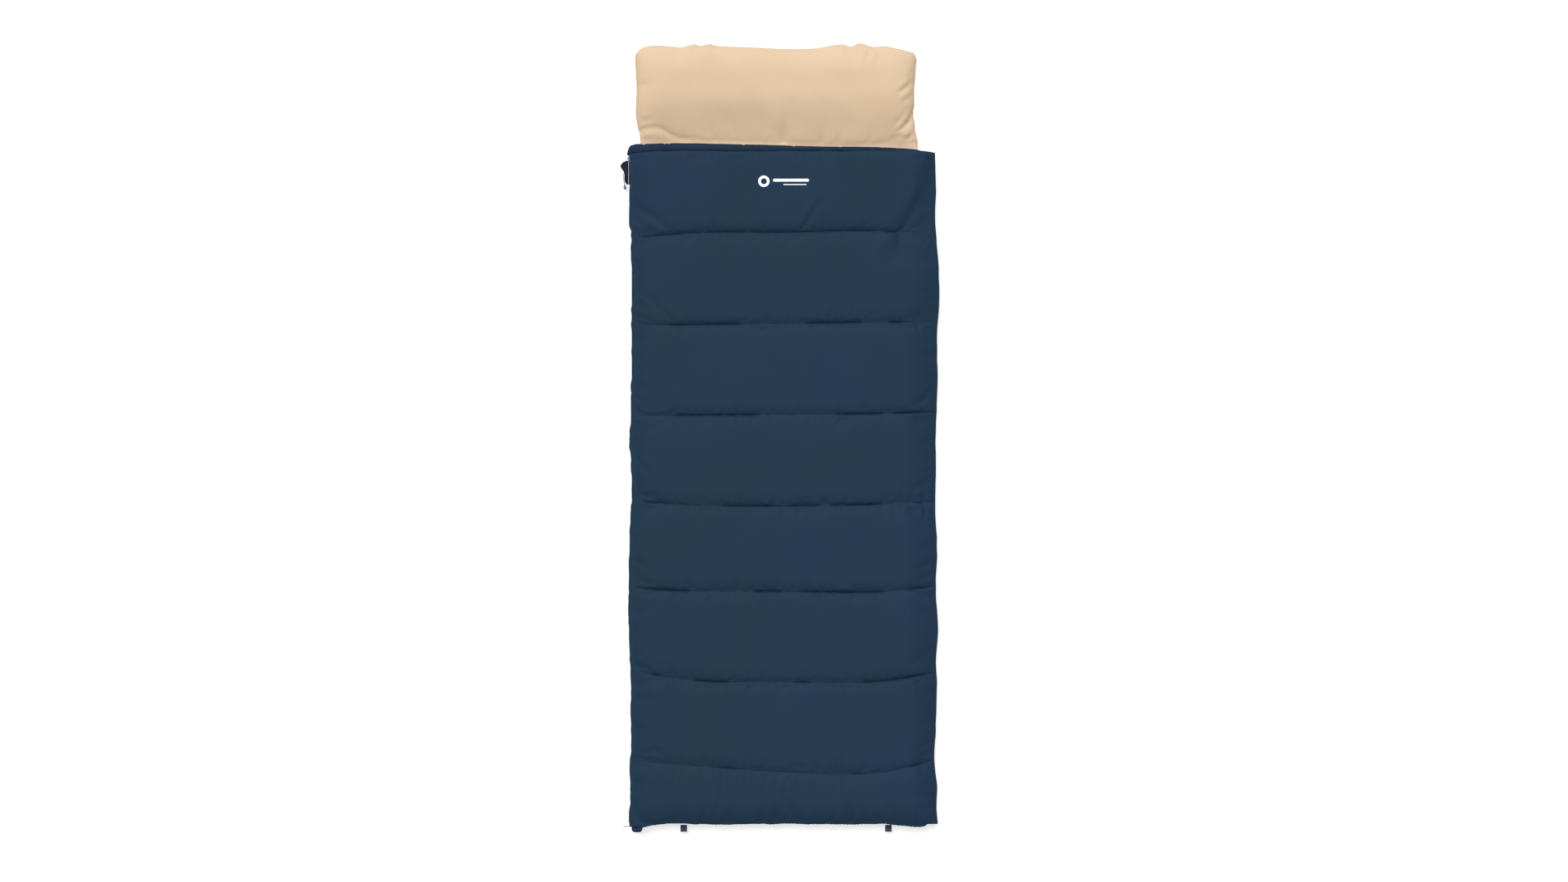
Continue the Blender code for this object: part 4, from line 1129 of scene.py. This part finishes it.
for place, body, up, span, shift in (
    ("side", "front", 1, (TAPE_LOW, TAPE_HIGH), 0.0),
    ("side", "back", -1, back_span, TOOTH_PITCH / 2),
    ("foot", "front", 1, (TAPE_LOW, TAPE_HIGH), 0.0),
    ("foot", "back", -1, back_span, TOOTH_PITCH / 2),
):
    at_side = place == "side"
    axis, outward, along = (1, (-1, 0), (0, 1)) if at_side else (0, (0, -1), (1, 0))
    follow = side_path if at_side else foot_path
    tape_node, teeth_node = f"{place}_tape_{body}", f"{place}_teeth_{body}"
    tape_low, tape_high = [corner[axis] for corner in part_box(tape_node)]
    teeth_low, teeth_high = [corner[axis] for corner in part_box(teeth_node)]
    tape_route = follow([*spots(tape_low, tape_high, TAPE_STEP), tape_high])
    strip = tape_strip(f"{place}_{body}_woven_tape", tape_route, *span, (-outward[0], -outward[1]))
    dress(strip, TAPE, body, [tape_node])
    teeth_route = follow(spots(teeth_low + shift, teeth_high, TOOTH_PITCH))
    teeth = coil(f"{place}_{body}_coil", teeth_route, along, up, outward)
    dress(teeth, TEETH, body, [teeth_node])

for part in ("slider", "pull_tab", "zip_stop"):
    for place in ("side", "foot"):
        paint(nodes[f"{place}_{part}"].data, METAL)
paint(nodes["side_pull_bead"].data, MOULDED)
paint(nodes["cover_loop_patch"].data, PILE)

# ---- zip cover ----


def cover_flap():
    """A doubled cloth flap that arches over the slider, with a bound free edge and round corners."""
    rows, cols = 22, 9
    rings = []
    reach_x = hinge[0] - cover_low.x
    drop = cover_high.z - cover_low.z
    for r in range(rows + 1):
        t = r / rows
        y = cover_high.y + (cover_low.y - cover_high.y) * t
        end = min(t, 1 - t) * rows
        shape = 0.30 + 0.70 * min(1.0, math.sqrt(max(0.0, end) / 4.2))
        slim = 1 - 0.50 * ease((t - 0.20) / 0.34)
        out = reach_x * float(shape * slim)
        top, low = [], []
        for c in range(cols + 1):
            s = c / cols
            x = hinge[0] - out * s
            arch = 0.0008 * math.sin(math.pi * s) + 0.0003 * math.sin(9 * t + 5 * s) * min(1.0, 4 * s)
            z = cover_high.z - 0.0012 - (drop - 0.003) * s**1.08 * out / reach_x + arch
            thick = 0.0010 * (1 + 0.5 * math.exp(-(((s - 0.93) / 0.06) ** 2)))
            top.append((x, y, z))
            low.append((x, y, z - thick))
        rings.append(top + low[::-1])
    return tube("zip_cover_flap", rings)


cover = cover_flap()
dress(cover, COVER, "cover", ["zip_cover"])


def hook_pad():
    """The hook patch, sewn under the wide part of the cover and clear of the cord."""
    rings = []
    for k in range(9):
        y = cover_high.y - 0.0060 - 0.0130 * k / 8
        far, near = cover_low.x + 0.0068, hinge[0] - 0.0090
        ring = []
        for x in (near, (near + far) / 2, far):
            share = (hinge[0] - x) / (hinge[0] - cover_low.x)
            ring.append((x, y, cover_high.z - 0.0040 - (cover_high.z - cover_low.z - 0.003) * share))
        rings.append(ring + [(x, y, z - 0.0010) for x, y, z in ring[::-1]])
    return tube("cover_hook_pad", rings)


dress(hook_pad(), HOOKS, "cover", replaces=["cover_hook_patch"])


def cover_strip():
    """The strip that the cover is stitched to, between its root and the front's outer cloth."""
    start, end = hinge[0] + 0.0010, hinge[0] + 0.0040
    low, high = hinge[2] - 0.0005, hinge[2] + 0.0001
    rings = []
    for k in range(41):
        y = cover_low.y + (cover_high.y - cover_low.y) * k / 40
        wave = 0.0001 * math.sin(k * 1.7)
        rings.append([(start, y, low), (end, y, low), (end, y, high + wave), (start, y, high - wave)])
    return tube("cover_stitching_strip", rings)


dress(cover_strip(), COVER, "front")

# ---- draft tube behind the side zip ----


def draft_roll():
    """The padded tube that lies behind the closed side zip."""
    low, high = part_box("draft_tube")
    rings = []
    steps = 180
    for k in range(steps + 1):
        t = k / steps
        y = low.y + (high.y - low.y) * t
        closed = min(1.0, 0.4 + 12 * min(t, 1 - t))
        middle = (low.x + high.x) / 2 + (float(left_side(y)) - LEFT) * 0.5
        half_w = (high.x - low.x) / 2 * (0.93 + 0.05 * float(fuzz(y, 0.5, 0.04, 101)))
        half_h = (high.z - low.z) / 2 * closed * (0.86 + 0.12 * float(fuzz(y, 0.5, 0.025, 102)))
        z = (low.z + high.z) / 2
        ring = []
        for m in range(16):
            a = 2 * math.pi * m / 16
            c, s = math.cos(a), math.sin(a)
            across, up = math.copysign(abs(c) ** 0.8, c), math.copysign(abs(s) ** 0.8, s)
            ring.append((middle + half_w * across, y, z + half_h * up))
        rings.append(ring)
    return tube("draft_roll", rings)


roll = draft_roll()
dress(roll, BEIGE, "front", ["draft_tube"])

# ---- tabs and loops at the foot ----

for name in ("hanging_loop_left", "hanging_loop_right"):
    paint(nodes[name].data, WEBBING)
# the corner tab takes the same darker navy with painted shade
paint(nodes["corner_tab"].data, NAVY_HEM_SHADED)

# ---- printed mark: a plain ring and two bars, on the first channel ----

MARK_CENTRE = (0.001, 0.874)


def printed(name, outline_pairs, ring=False):
    """A thin print that lies on the cloth. The outline is given as pairs of opposite points, tip to tip."""
    points, faces = [], []
    for a, b in outline_pairs:
        for x, y in (a, b):
            points.append((x, y, on_shell(x, y, 0.0003)))
    count = len(outline_pairs)
    for k in range(count if ring else count - 1):
        a, b = 2 * k, 2 * ((k + 1) % count)
        faces.append((a, a + 1, b + 1, b))
    return mesh_object(name, points, faces)


def bar_pairs(x0, x1, y, height):
    """A bar with round ends."""
    radius = height / 2
    steps = max(8, round((x1 - x0) / 0.004))
    turns = [math.pi / 2 * k / 6 for k in range(7)]
    left = [(x0 + radius - radius * math.cos(a), radius * math.sin(a)) for a in turns]
    middle = [(x0 + radius + (x1 - x0 - height) * k / steps, radius) for k in range(1, steps)]
    right = [(x1 - radius + radius * math.sin(a), radius * math.cos(a)) for a in turns]
    return [((x, y - reach), (x, y + reach)) for x, reach in left + middle + right]


def ring_pairs(centre, outer, inner):
    """A flat ring."""
    pairs = []
    for k in range(48):
        a = 2 * math.pi * k / 48
        c, s = math.cos(a), math.sin(a)
        pairs.append([(centre[0] + radius * c, centre[1] + radius * s) for radius in (outer, inner)])
    return pairs


mx, my = MARK_CENTRE
marks = [
    printed("print_ring", ring_pairs((mx - 0.057, my), 0.0165, 0.0085), ring=True),
    printed("print_bar", bar_pairs(mx - 0.031, mx + 0.073, my + 0.003, 0.0085)),
    printed("print_bar_small", bar_pairs(mx - 0.001, mx + 0.066, my - 0.0095, 0.0030)),
]
for mark in marks:
    dress(mark, WHITE_PRINT, "front")

# ---- floor and light ----

FLOOR = 9  # half the floor's width
corners = [(-FLOOR, -FLOOR, 0), (FLOOR, -FLOOR, 0), (FLOOR, FLOOR, 0), (-FLOOR, FLOOR, 0)]
floor = mesh_object("floor", corners, [(0, 1, 2, 3)], smooth=False)
floor_material, _, floor_shader, _ = new_material("pale_floor")
give(floor_shader, Base_Color=(0.52, 0.52, 0.52, 1), Roughness=0.9, Specular_IOR_Level=0.1)
give(floor_shader, Emission_Color=(1, 1, 1, 1), Emission_Strength=0.62)
floor.data.materials.append(floor_material)

scene.view_settings.view_transform = "Standard"
world = bpy.data.worlds.new("studio")
scene.world = world
world.use_nodes = True
sky_tree = world.node_tree
background = sky_tree.nodes["Background"]
way = add(sky_tree, "ShaderNodeTexCoord").outputs["Generated"]
height = add(sky_tree, "ShaderNodeSeparateXYZ", way).outputs["Z"]
sky = add(sky_tree, "ShaderNodeMapRange", height, "Value", From_Max=0.9, To_Min=0.22)
sky_tree.links.new(sky.outputs["Result"], background.inputs["Color"])
give(background, Strength=0.52)


def sun(name, direction, strength, spread):
    """A broad, far light that comes from a direction."""
    data = bpy.data.lights.new(name, "SUN")
    data.energy = strength
    data.angle = math.radians(spread)
    obj = bpy.data.objects.new(name, data)
    scene.collection.objects.link(obj)
    obj.rotation_euler = (-Vector(direction)).to_track_quat("-Z", "Y").to_euler()


sun("head_softbox", (-0.16, 0.50, 1.0), strength=3.15, spread=40)
